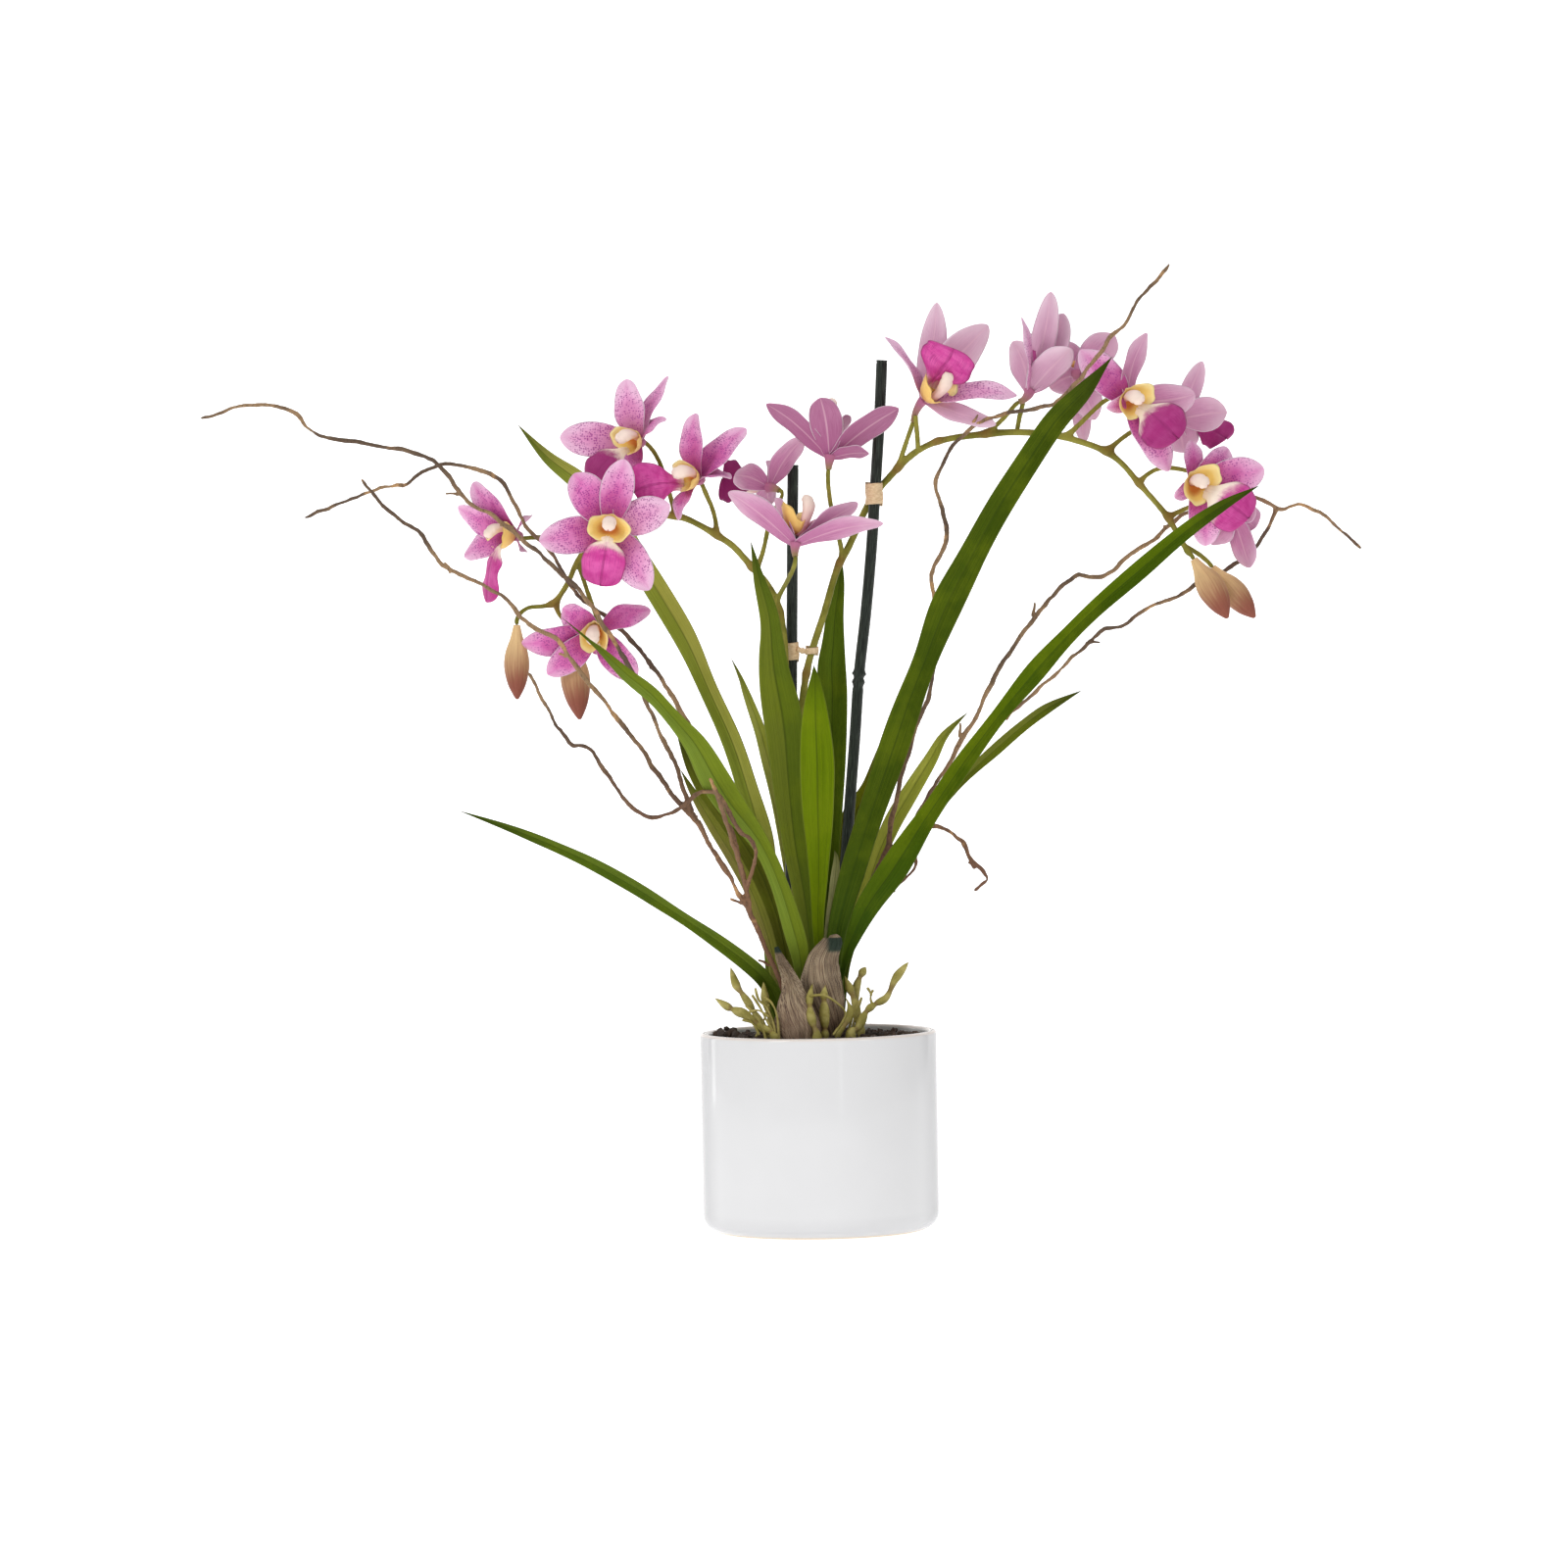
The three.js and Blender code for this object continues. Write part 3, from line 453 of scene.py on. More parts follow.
def flow(stations, share):
    """A smooth run through stations, read at shares of the way from 0 to 1."""
    stations = np.asarray(stations, float)
    if stations.ndim == 1:
        return flow(stations[:, None], share)[:, 0]
    last = len(stations) - 1
    place = np.clip(share, 0, 1) * last
    first = np.minimum(place.astype(int), last - 1)
    step = (place - first)[:, None]
    before, here, after, beyond = (stations[np.clip(first + k, 0, last)] for k in (-1, 0, 1, 2))
    bend = 2 * before - 5 * here + 4 * after - beyond
    twist = 3 * here - before - 3 * after + beyond
    return here + 0.5 * ((after - before) * step + bend * step ** 2 + twist * step ** 3)


def unit(rows):
    return rows / np.maximum(np.linalg.norm(rows, axis=-1, keepdims=True), 1e-12)


def read(rows, share):
    """Reads rows that are spread evenly from 0 to 1, at each share."""
    table = np.linspace(0, 1, len(rows))
    return np.stack([np.interp(share, table, rows[:, axis]) for axis in range(3)], axis=1)


def carried(line, start):
    """Two directions across a line that turn with it as little as they can."""
    forward = unit(np.gradient(line, axis=0))
    first = []
    direction = np.asarray(start, float)
    for step in forward:
        direction = direction - step * (direction @ step)
        direction = direction / np.linalg.norm(direction)
        first.append(direction)
    first = np.array(first)
    return first, np.cross(forward, first)


def mark(piece, name, value):
    """Writes a number or colour on the points of a piece, for its finish to read."""
    count = len(piece.data.vertices)
    if isinstance(value, tuple):
        layer = piece.data.attributes.new(name, "FLOAT_COLOR", "POINT")
        layer.data.foreach_set("color", np.tile(value, count))
    else:
        layer = piece.data.attributes.new(name, "FLOAT", "POINT")
        layer.data.foreach_set("value", np.full(count, value, float))


def tube(name, points, radius, sides, rings, start=(1, 0.03, 0.02), note=None):
    """A round piece with closed ends; radius(share, turn) gives its size at each point."""
    line = flow(points, np.linspace(0, 1, rings * 2))
    first, second = carried(line, start)

    def place(u, v):
        ring = np.round(v * rings)
        share = np.clip((ring - 1) / (rings - 2), 0, 1)
        turn = 2 * np.pi * u
        size = radius(share, turn) * ((ring > 0) & (ring < rings))
        return (read(line, share) + read(first, share) * (size * np.cos(turn))[:, None]
                + read(second, share) * (size * np.sin(turn))[:, None])

    piece = draped(name, sides, rings, place)
    if note:
        mark(piece, "note", note(np.repeat(np.linspace(0, 1, rings + 1), sides + 1)))
    return sealed(piece)


def level_cut(node, height):
    """The middle and the half width of a CAD piece where a level plane cuts it."""
    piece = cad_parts[node]
    points = coordinates(piece)
    ends = np.array([edge.vertices[:] for edge in piece.data.edges])
    low, high = points[ends[:, 0]], points[ends[:, 1]]
    crossing = (low[:, 2] - height) * (high[:, 2] - height) < 0
    low, high = low[crossing], high[crossing]
    share = (height - low[:, 2]) / (high[:, 2] - low[:, 2])
    cuts = low + (high - low) * share[:, None]
    middle = (cuts.min(axis=0) + cuts.max(axis=0)) / 2
    return middle, np.ptp(cuts, axis=0)[:2].mean() / 2


def bulb(name, node, lean, sheath_turn, belly):
    """A pseudobulb; belly is how much fuller it is than the CAD piece at its foot."""
    low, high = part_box(node)
    cuts = [level_cut(node, height) for height in np.linspace(high[2] - 5e-4, low[2] + 5e-4, 26)]
    centres = [middle for middle, _ in cuts]
    sizes = [size * (1 + belly * row / 25) for row, (_, size) in enumerate(cuts)]

    def radius(share, turn):
        size = flow(sizes, share)
        drift = turn + lean * share
        fibre = sum(np.sin(drift * count + phase) / weight for count, phase, weight in BULB_FIBRES)
        edge = (turn - sheath_turn - 2.4 * share + np.pi) % (2 * np.pi) - np.pi
        sheath = BULB_SHEATH / (1 + np.exp(-edge / 0.03)) * np.clip((2.2 - edge) / 0.8, 0, 1)
        near_foot = np.clip((1 - share) * 5, 0.15, 1)
        return size + (BULB_FIBRE * fibre * near_foot + sheath) * np.clip(size / 0.004, 0, 1)

    return tube(name, centres, radius, *BULB_GRID)


bulb_right = bulb("pseudobulb_big", "pseudobulb_right", 2.2, 3.6, 0)
bulb_left = bulb("pseudobulb_small", "pseudobulb_left", -0.7, 4.6, 0.16)

husk = Finish("dry_fibre_husk")
round_husk, up_husk = husk.grid()


def streaks(finish, across, along, stretch, scale, detail=3.0):
    """Long thin streaks that follow a piece from end to end."""
    where = finish.node("ShaderNodeCombineXYZ", {}, {"X": across * stretch, "Y": along})
    return finish.cloud(where, scale, detail, 0.6)


fibre_dark = streaks(husk, round_husk + up_husk * 0.3, up_husk, 60, 3)
fibre_fine = streaks(husk, round_husk + up_husk * 0.3, up_husk, 160, 2)
bulb_side, _, bulb_height = husk.split(husk.place())
low_husk = 1 - husk.rise(bulb_height, *LOW_HUSK_Z)
under_rim = husk.rise(bulb_height, *CUT_LOW_Z) * (1 - husk.rise(bulb_height, *CUT_HIGH_Z))
cut_green = under_rim * husk.rise(bulb_side, 0.0045, 0.0085)
neck_stub = husk.rise(bulb_height, *NECK_LOW_Z) * (1 - husk.rise(bulb_side, -0.01, -0.005))
husk_cloud = husk.rise(husk.cloud(husk.place(), 90, 2), 0.35, 0.65)
husk_pale = husk.blend(husk_cloud, (164, 140, 112), (200, 176, 144))
husk.paint(
    Base_Color=husk.coated(
        husk.blend(husk.rise(fibre_dark, 0.36, 0.56), (88, 68, 54), husk_pale),
        (husk.rise(fibre_fine, 0.52, 0.62) * 0.75, (52, 40, 32)),
        ((1 - husk.rise(fibre_fine, 0.32, 0.44)) * 0.5, (196, 176, 146)),
        (low_husk * 0.4, (136, 102, 84)),
        (cut_green + neck_stub, (38, 58, 42))),
    Roughness=0.75 - fibre_dark * 0.25,
    Normal=husk.bump(fibre_dark + fibre_fine * 0.6, 0.0008, 0.8),
)
fitted(bulb_right, husk, "bulb_husk", "pseudobulb_right")
fitted(bulb_left, husk, "bulb_husk", "pseudobulb_left")


# The stakes are slim bamboo canes stained almost black, pushed deep into the soil. The right one
# keeps a knot with its two raised rings, and both are sawn off flat at the top.
STAKE_FOOT_Z = 0.0305
STAKE_RADIUS = 0.00345
STAKE_RINGS = 380
KNOT_GROOVE = 0.0032
KNOT_RINGS = [(0.3355, 0.0009, 0.0013), (0.3405, 0.0013, 0.001)]
TOP_RING = 0.003


def cane(name, node, knots):
    low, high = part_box(node)
    top = high[2] - 0.0004
    heights = np.linspace(top, STAKE_FOOT_Z, 14)
    centres = np.array([level_cut(node, height)[0] for height in heights])

    def radius(share, turn):
        height = top + (STAKE_FOOT_Z - top) * share
        size = np.full(len(share), STAKE_RADIUS)
        for place, swell, spread in knots:
            size = size + swell * np.exp(-((height - place) / spread) ** 2)
            size = size - 0.35 * swell * np.exp(-((height - place + KNOT_GROOVE) / 0.0012) ** 2)
        size = size - 0.0004 * np.exp(-((height - top + TOP_RING) / 0.0005) ** 2)
        return size + 0.00006 * np.sin(turn * 9 + height * 40) * (share > 0)

    return tube(name, centres, radius, 20, STAKE_RINGS)


cane_left = cane("cane_left", "stake_left", [])
cane_right = cane("cane_right", "stake_right", KNOT_RINGS)

stain = Finish("black_green_stain", Specular_IOR_Level=0.22)
round_cane, along_cane = stain.grid()
# The pale streaks along the cane are partly its grain and partly painted highlight lines.
grain_and_highlight_streaks = streaks(stain, round_cane, along_cane * 14, 22, 3)
rub = stain.rise(stain.cloud(stain.place((1, 1, 0.25)), 240, 4), 0.68, 0.76)
stain.paint(
    Base_Color=stain.coated(stain.blend(stain.rise(grain_and_highlight_streaks, 0.35, 0.75), (6, 9, 8), (66, 76, 66)),
                            (rub * 0.35, (116, 110, 90))),
    Roughness=0.24 + grain_and_highlight_streaks * 0.22 + rub * 0.3,
    Normal=stain.bump(grain_and_highlight_streaks, 0.0004, 0.6),
)
fitted(cane_left, stain, "bamboo_stake", "stake_left")
fitted(cane_right, stain, "bamboo_stake", "stake_right")


# The curly twigs are dried brown willow shoots stuck in behind the leaves. Each is one grown branch
# with side shoots and a few short broken stubs.
TWIG_VOXEL = 0.00045
LEFT_STUBS = [((-222, 453), (-229.5, 454.5)), ((-178, 431), (-186, 433)), ((-103, 350), (-104, 355)),
              ((-223.5, 404), (-226.5, 411)), ((-150, 344.5), (-154.5, 346.5)),
              ((-45, 196.5), (-55, 200.5)), ((-31, 164.5), (-38, 168.5))]
RIGHT_STUBS = [((100, 498), (103.5, 503.5)), ((131, 377), (132.5, 386)), ((83, 293.5), (83, 302.5)),
               ((211, 427), (217, 427)), ((160.5, 353), (169, 353.5)), ((46, 205), (54, 206)),
               ((95, 217), (99, 212))]
STUB_RADIUS = 0.0011
TWIG_LIFT = 0.00038
TWIG_SLIM = 0.001
TWIG_SLIMMING = 0.86
TWIG_CALM_Z = 0.15
TWIG_TUCK_Z = 0.235


def cad_copy(node, name):
    """A merged copy of a CAD piece with its triangles paired up again."""
    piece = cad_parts[node].copy()
    piece.data = piece.data.copy()
    piece.name = name
    bpy.context.collection.objects.link(piece)
    for key in list(piece.keys()):
        del piece[key]
    piece.parent = None
    merged(piece)
    bpy.ops.mesh.tris_convert_to_quads(face_threshold=1.2, shape_threshold=2.5)
    bpy.ops.object.mode_set(mode="OBJECT")
    return piece


def modified(piece, kind, **settings):
    """Adds a modifier to a piece and applies it."""
    only(piece)
    modifier = piece.modifiers.new(kind.title(), kind)
    for name, value in settings.items():
        setattr(modifier, name, value)
    bpy.ops.object.modifier_apply(modifier=modifier.name)
    return piece


def swollen(piece, lift):
    """Moves every point of a piece out along its normal by lift(points)."""
    points = coordinates(piece)
    return reshaped(piece, points + coordinates(piece, "normal") * np.reshape(lift(points), (-1, 1)))


def joined(name, pieces):
    only(pieces[0])
    for piece in pieces:
        piece.select_set(True)
    bpy.ops.object.join()
    pieces[0].name = name
    return pieces[0]


def half_girth(piece):
    """Half the thickness of a piece under each of its points."""
    deep = []
    for point in piece.data.vertices:
        inward = -point.normal
        hit, place, _, _ = piece.ray_cast(point.co + inward * 1e-5, inward)
        deep.append((place - point.co).length / 2 if hit else 0.001)
    return np.array(deep)


def rounded_copy(node, name, girth, voxel, extras=()):
    """A CAD piece of branches, smoothed, brought to its true girth and made one skin again."""
    piece = cad_copy(node, name)
    modified(piece, "SUBSURF", levels=2, render_levels=2)
    swollen(piece, lambda points: girth(half_girth(piece)))
    piece = joined(name, [piece, *extras])
    modified(piece, "REMESH", mode="VOXEL", voxel_size=voxel, adaptivity=0)
    modified(piece, "SMOOTH", factor=0.5, iterations=4)
    modified(piece, "DECIMATE", ratio=0.5)
    bpy.ops.object.shade_smooth()
    return piece


def stub(node, root, tip):
    """A short broken side shoot that starts inside its branch."""
    points = coordinates(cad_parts[node])
    order = np.argsort(np.linalg.norm(points[:, [0, 2]] - np.array(root) * MM, axis=1))
    start = points[order[:5]].mean(axis=0)
    reach = (np.array(tip) - np.array(root)) * MM
    end = start + np.array([reach[0], -0.002, reach[1]])
    middle = (start + end) / 2 + np.array([0.0004, 0, 0.0006])
    return tube("stub", [start, middle, end],
                lambda share, turn: STUB_RADIUS * (1 - 0.35 * share), 8, 10)


def twig(name, node, stubs, tuck):
    shoots = [stub(node, root, tip) for root, tip in stubs]
    piece = rounded_copy(
        node, name, lambda half: TWIG_LIFT - TWIG_SLIMMING * np.clip(half - TWIG_SLIM, 0, 0.004),
        TWIG_VOXEL, shoots)
    points = coordinates(piece)
    kinks = np.stack([lumps(points, 0.017, seed) * 0.0010 + lumps(points, 0.008, seed + 5) * 0.0003
                      for seed in (31, 32, 33)], axis=1)
    calm = np.clip((points[:, 2] - TWIG_CALM_Z) / 0.05, 0, 1)
    moved = points + kinks * calm[:, None]
    moved[:, 0] += tuck * np.clip((TWIG_TUCK_Z - points[:, 2]) / 0.1, 0, 1) ** 0.8
    reshaped(piece, moved)
    return swollen(piece, lambda points: lumps(points, 0.006, 11) * 0.00018
                   + lumps(points, 0.0022, 12) * 0.0001)


twig_left = twig("curly_willow_left", "curly_twig_left", LEFT_STUBS, 0)
twig_right = twig("curly_willow_right", "curly_twig_right", RIGHT_STUBS, -0.017)

bark = Finish("dried_willow_bark")
bark_fine = bark.cloud(bark.place((1, 1, 0.5)), 900, 4, 0.65)
bark_patch = bark.rise(bark.cloud(bark.place(), 28, 3), 0.42, 0.62)
bark_worn = bark.rise(bark.cloud(bark.place(), 60, 3), 0.58, 0.68)
bark_low = 1 - bark.rise(bark.split(bark.place())[2], 0.19, 0.34)
bark.paint(
    Base_Color=bark.coated(
        bark.blend(bark_patch, (90, 70, 52), (148, 118, 84)),
        (bark_low * 0.8, (118, 78, 54)),
        (bark_worn * 0.75, (190, 146, 96)),
        (bark.rise(bark_fine, 0.48, 0.7) * 0.6, (48, 36, 30))),
    Roughness=0.62 + bark_fine * 0.3,
    Normal=bark.bump(bark_fine, 0.0006, 0.7),
)
fitted(twig_left, bark, "twig_bark", "curly_twig_left")
fitted(twig_right, bark, "twig_bark", "curly_twig_right")


# The leaves are long leathery straps with fine lengthwise veins, folded along the midrib. They
# fan out from the bulbs, and each half of a leaf catches the light in its own tone.
LEAF_HALF_THICK = 0.00055
LEAF_GRID = (40, 120)
LEAF_RIPPLE = 0.0005
LEAF_RIBBING = 0.00008
# Painted light: the two tones of a leaf differ as its two halves face the light or turn from it, and the
# inner blade is painted far paler than its green to make up for the shade it stands in.
LEAF_TONES = {
    "leaf_low_left": ((76, 98, 20), (94, 114, 34)),
    "leaf_front_left": ((124, 144, 52), (116, 132, 36)),
    "leaf_rear_left": ((148, 160, 60), (178, 178, 82)),
    "leaf_short_dark": ((140, 132, 68), (122, 120, 50)),
    "leaf_hidden_left": ((98, 100, 30), (88, 90, 22)),
    "leaf_narrow_left": ((178, 180, 88), (158, 162, 66)),
    "leaf_tall_left": ((112, 122, 38), (92, 108, 26)),
    "leaf_front_centre": ((106, 128, 4), (100, 122, 2)),
    "leaf_tall_right": ((92, 114, 26), (80, 102, 18)),
    "leaf_olive_rear": ((108, 108, 14), (90, 94, 10)),
    "leaf_long_right": ((66, 84, 10), (57, 75, 6)),
    "leaf_low_right": ((80, 102, 2), (60, 84, 2)),
    "leaf_short_right": ((176, 178, 74), (160, 164, 62)),
    "leaf_thin_right": ((114, 118, 48), (94, 104, 24)),
    "leaf_inner_blade": ((190, 186, 130), (176, 174, 116)),
}
# How far the left and right edges stand outside those of the CAD blade, in mm, by height
LEAF_TRIMS = {
    "leaf_low_left": [(180, 0, 0), (195, -0.8, -0.8), (203, 0, 0), (212, -0.4, 0.4), (220, -0.3, 0.5),
                      (228, -0.4, 0.2), (238, -0.3, -1), (248, -0.8, -0.4), (256, -1, 0)],
    "leaf_front_left": [(118, 2, -2), (155, -3.5, 2.4), (180, 0.6, -0.6), (213, -2.4, -3),
                        (245, -1, -6), (270, 7.5, -10.5), (297, 6.5, -12), (323, 4, -14),
                        (336, 2, -8), (345, 1, -5)],
    "leaf_rear_left": [(200, 0, 0), (235, 0, 3), (272, -0.6, -4.2), (306, 0.5, -8), (333, 1.2, -10),
                       (353, 0, -6.6), (367, -0.6, -1.8), (400, 0, -0.5)],
    "leaf_short_dark": [(190, 0, 0), (211, -1.8, 0), (264, -1.2, 0)],
    "leaf_narrow_left": [(200, 0, 0), (237, -3, 0), (274, -5, 2), (304, -6, 2), (334, -3, 0)],
    "leaf_tall_left": [(250, 0, 0), (318, 1.2, 1.8), (344, 1.2, -2.4), (365, 0, -2), (385, 0, 0.6)],
    "leaf_front_centre": [(160, 0, -4), (200, 0, -4), (230, 0.5, -2.8), (252, 1.2, -1.2),
                          (288, -0.6, 0.6)],
    "leaf_inner_blade": [(180, 0, 0), (215, -0.6, 1.0), (230, -2.4, 1.8)],
    "leaf_tall_right": [(250, 0, -1.2), (334, 0, 0.6), (346, 2.4, 0), (357, -0.6, 0)],
    "leaf_olive_rear": [(118, 3, -4), (187, 0, -1), (223, 0.6, 0), (253, 0.6, 0), (267, -5.4, 0),
                        (307, -4.8, 0)],
    "leaf_long_right": [(118, 8, -9), (140, 8, -9), (164, 3, -4), (180, 1.2, -2), (220, -0.6, 1.2),
                        (252, -2.4, 1.2), (299, -0.6, 1.8), (322, -1.2, -1.2), (349, -4.2, -1.8),
                        (382, 0.6, -0.6), (412, -2.4, -2), (446, -1.8, -1.8), (472, -2.4, -1),
                        (502, -0.5, -0.5)],
    "leaf_low_right": [(118, 13, -18), (135, 13, -18), (154, 10, -16), (171, 5, -9), (199, 0, -2),
                       (225, -1, 0), (253, -4, -6), (265, -5.4, -4.5), (290, -4.2, -4.2),
                       (314, -4.2, -5.4), (342, -0.6, -2.4), (357, -2.4, -4.8), (378, -0.6, -6),
                       (400, -1.8, -1.2), (420, -1.8, -1.8), (440, 0.6, -0.6)],
    "leaf_short_right": [(118, 13, -16), (145, 13, -16), (172, 7, -9), (205, 1, -1), (250, 2.4, -1.5),
                         (292, 0, -1)],
    "leaf_thin_right": [(118, 17, -19), (162, 15, -17), (196, 8, -9), (225, 5, -7), (251, 0, -4.2),
                        (270, 0, -3), (290, 0, 0)],
}


def softened(row):
    """A row of numbers with its corners rounded off."""
    padded = np.pad(row, 9, mode="edge")
    return np.convolve(padded, np.hanning(21)[1:-1] / np.hanning(21).sum(), mode="valid")


def blade(u):
    """The place from edge to edge, -1 to 1, and the face, 1 or -1, of a thin two-faced blade."""
    return 1 - np.abs(4 * u - 2), np.where(u < 0.5, 1, -1)


def strap(node, waves):
    """One leaf over its CAD piece: its two edges and its midrib are read there."""
    rings = rings_of(node)
    edges = []
    ribs = []
    for ring in rings[1:-1]:
        gaps = np.linalg.norm(ring[:, None] - ring[None], axis=2)
        first, second = np.unravel_index(np.argmax(gaps), gaps.shape)
        pair = ring[[first, second]]
        if edges and np.dot(pair[1] - pair[0], edges[-1][1] - edges[-1][0]) < 0:
            pair = pair[::-1]
        edges.append(pair)
        ribs.append(ring[[corner for corner in range(4) if corner not in (first, second)]].mean(axis=0))
    tip = rings[0][0]
    edges = np.array([np.array([tip, tip]), *edges])[::-1]
    ribs = np.array([tip, *ribs])[::-1]
    if edges[0][1][0] < edges[0][0][0]:
        edges = edges[:, ::-1]
    table = np.linspace(0, 1, 160)
    left, right, rib = (flow(rows, table) for rows in (edges[:, 0], edges[:, 1], ribs))
    side = unit(right - left + 1e-9)
    if node in LEAF_TRIMS:
        trims = np.array(LEAF_TRIMS[node]) * MM
        room = np.clip(np.linalg.norm(right - left, axis=1) / 0.006, 0, 1)[:, None]
        wide_left, wide_right = (softened(np.interp(rib[:, 2], trims[:, 0], trims[:, column]))[:, None]
                                 for column in (1, 2))
        left = left - side * wide_left * room
        right = right + side * wide_right * room
        rib = rib + side * (wide_right - wide_left) / 2 * room
    front = unit(np.cross(np.gradient(rib, axis=0), side))
    front *= np.where((front @ np.array([0, -1, 0]))[:, None] < 0, -1, 1)

    def place(u, v):
        across, face = blade(u)
        low, high, middle = (read(rows, v) for rows in (left, right, rib))
        share = np.abs(across)
        crease = share ** 1.25
        span = (high - low) * (across / 2)[:, None]
        fold = ((low + high) / 2 - middle) * crease[:, None]
        width = np.linalg.norm(high - low, axis=1)
        thick = LEAF_HALF_THICK * (1 - across ** 2) ** 0.4 * np.clip(width / 0.004, 0, 1)
        ripple = LEAF_RIPPLE * share ** 2 * np.sin(v * waves + across * 1.5) * np.clip(width / 0.01, 0, 1)
        ribbing = LEAF_RIBBING * np.cos(across * 15) * (1 - share ** 4)
        lift = face * thick + ripple + ribbing * face
        return middle + span + fold + read(front, v) * lift[:, None]

    return sealed(draped(node + "_strap", *LEAF_GRID, place))


leaf_green = Finish("strap_leaf", Specular_IOR_Level=0.04)
turn_leaf, along_leaf = leaf_green.grid()
across_leaf = 1 - leaf_green.gap(turn_leaf * 4, 2)
from_rib = leaf_green.gap(across_leaf, 0)
half = leaf_green.rise(across_leaf, -0.06, 0.06)
chance = leaf_green.noted("chance")
vein = streaks(leaf_green, across_leaf + chance, along_leaf * 1.2, 9, 3, 4.0)
vein_fine = streaks(leaf_green, across_leaf + chance, along_leaf * 2, 30, 2)
cloudy = leaf_green.cloud(leaf_green.place(), 34, 3)
leaf_green.paint(
    Base_Color=leaf_green.coated(
        leaf_green.blend(half, leaf_green.noted("tone_left", "Color"),
                         leaf_green.noted("tone_right", "Color")),
        (leaf_green.rise(vein, 0.4, 0.64) * 0.32, (40, 58, 2)),
        (leaf_green.rise(vein_fine, 0.5, 0.68) * 0.2, (150, 158, 40)),
        (leaf_green.rise(cloudy, 0.42, 0.66) * 0.2, (126, 140, 20)),
        ((1 - leaf_green.rise(from_rib, 0.015, 0.08)) * 0.5, (44, 60, 12)),
        (leaf_green.rise(from_rib, 0.93, 0.985) * 0.35, (150, 156, 84)),
        # Painted shade: each leaf is darkened towards its foot, where the leaves crowd together.
        ((1 - leaf_green.rise(along_leaf, 0.02, 0.34)) * 0.4, (48, 82, 28)),
        (leaf_green.rise(along_leaf, 0.8, 1.0) * 0.6, (44, 56, 14))),
    Roughness=0.42 + vein * 0.16,
    Normal=leaf_green.bump(vein * 0.6 + vein_fine, 0.0005, 0.7),
)

for number, (node, (left_tone, right_tone)) in enumerate(LEAF_TONES.items()):
    leaf = strap(node, 17 + 2.3 * (number % 5))
    mark(leaf, "tone_left", colour(*left_tone))
    mark(leaf, "tone_right", colour(*right_tone))
    mark(leaf, "chance", number * 3.7)
    fitted(leaf, leaf_green, "leaf", node)


# The two flower spikes are green fleshy stems, each with a side stalk to every flower and bud.
# A small dry bract sits under each side stalk, and the stem thickens there.
SPIKE_VOXEL = 0.00055
SPIKE_LIFT = 0.0004
STALK_RADIUS = 0.0016
BRACT_SWELL = 0.0011
BRACTS = {
    "flower_spike_left": [(-19, 379), (-36, 407), (-57, 427), (-82, 440), (-121, 429), (-158, 386),
                          (-15, 290)],
    "flower_spike_right": [(-4, 341), (18, 409), (55, 466), (79, 483), (109, 486), (149, 485),
                           (183, 474), (202, 454), (220, 433)],
}
# Thin second side stalks that stand beside those of two flowers, in mm
SECOND_STALKS = {
    "flower_spike_left": [],
    "flower_spike_right": [[(67.5, 13, 478), (67, 9, 488), (66, 7, 498)],
                           [(128, 13, 485), (130, 11, 496), (132.5, 10, 505)]],
}


def on_piece(node, x, z):
    """The point of a CAD piece nearest to a place seen from the front, in its middle depth."""
    points = coordinates(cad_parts[node])
    gaps = np.linalg.norm(points[:, [0, 2]] - np.array([x, z]) * MM, axis=1)
    close = points[np.argsort(gaps)[:6]]
    return np.array([x * MM, close[:, 1].mean(), z * MM])


def spike(name, node):
    extras = [tube("second_stalk", np.array(points) * MM,
                   lambda share, turn: STALK_RADIUS + 0 * share, 10, 16)
              for points in SECOND_STALKS[node]]
    piece = rounded_copy(node, name, lambda half: SPIKE_LIFT, SPIKE_VOXEL, extras)
    joints = [on_piece(node, x, z) for x, z in BRACTS[node]]

    def lift(points):
        ridge = lumps(points, 0.004, 21) * 0.00008 + lumps(points, 0.012, 22) * 0.00012
        for joint in joints:
            gap = np.linalg.norm(points - joint, axis=1)
            ridge = ridge + BRACT_SWELL * np.exp(-(gap / 0.0032) ** 2)
        return ridge

    points = coordinates(swollen(piece, lift))
    near = np.min([np.linalg.norm(points - joint, axis=1) for joint in joints], axis=0)
    mark(piece, "note", np.exp(-(near / 0.005) ** 2))
    return piece


spike_left = spike("spike_left", "flower_spike_left")
spike_right = spike("spike_right", "flower_spike_right")

stem_green = Finish("spike_stem", Specular_IOR_Level=0.2)
stem_cloud = stem_green.cloud(stem_green.place(), 60, 4)
stem_fine = stem_green.cloud(stem_green.place((1, 1, 0.4)), 600, 3)
stem_green.paint(
    Base_Color=stem_green.coated(
        stem_green.blend(stem_green.rise(stem_cloud, 0.35, 0.65), (112, 110, 32), (144, 138, 56)),
        (stem_green.noted("note") * (0.3 + stem_cloud * 0.7), (132, 92, 46)),
        (stem_green.rise(stem_fine, 0.52, 0.72) * 0.4, (86, 70, 36))),
    Roughness=0.45 + stem_fine * 0.2,
    Normal=stem_green.bump(stem_fine, 0.0005, 0.5),
)
fitted(spike_left, stem_green, "stem", "flower_spike_left")
fitted(spike_right, stem_green, "stem", "flower_spike_right")


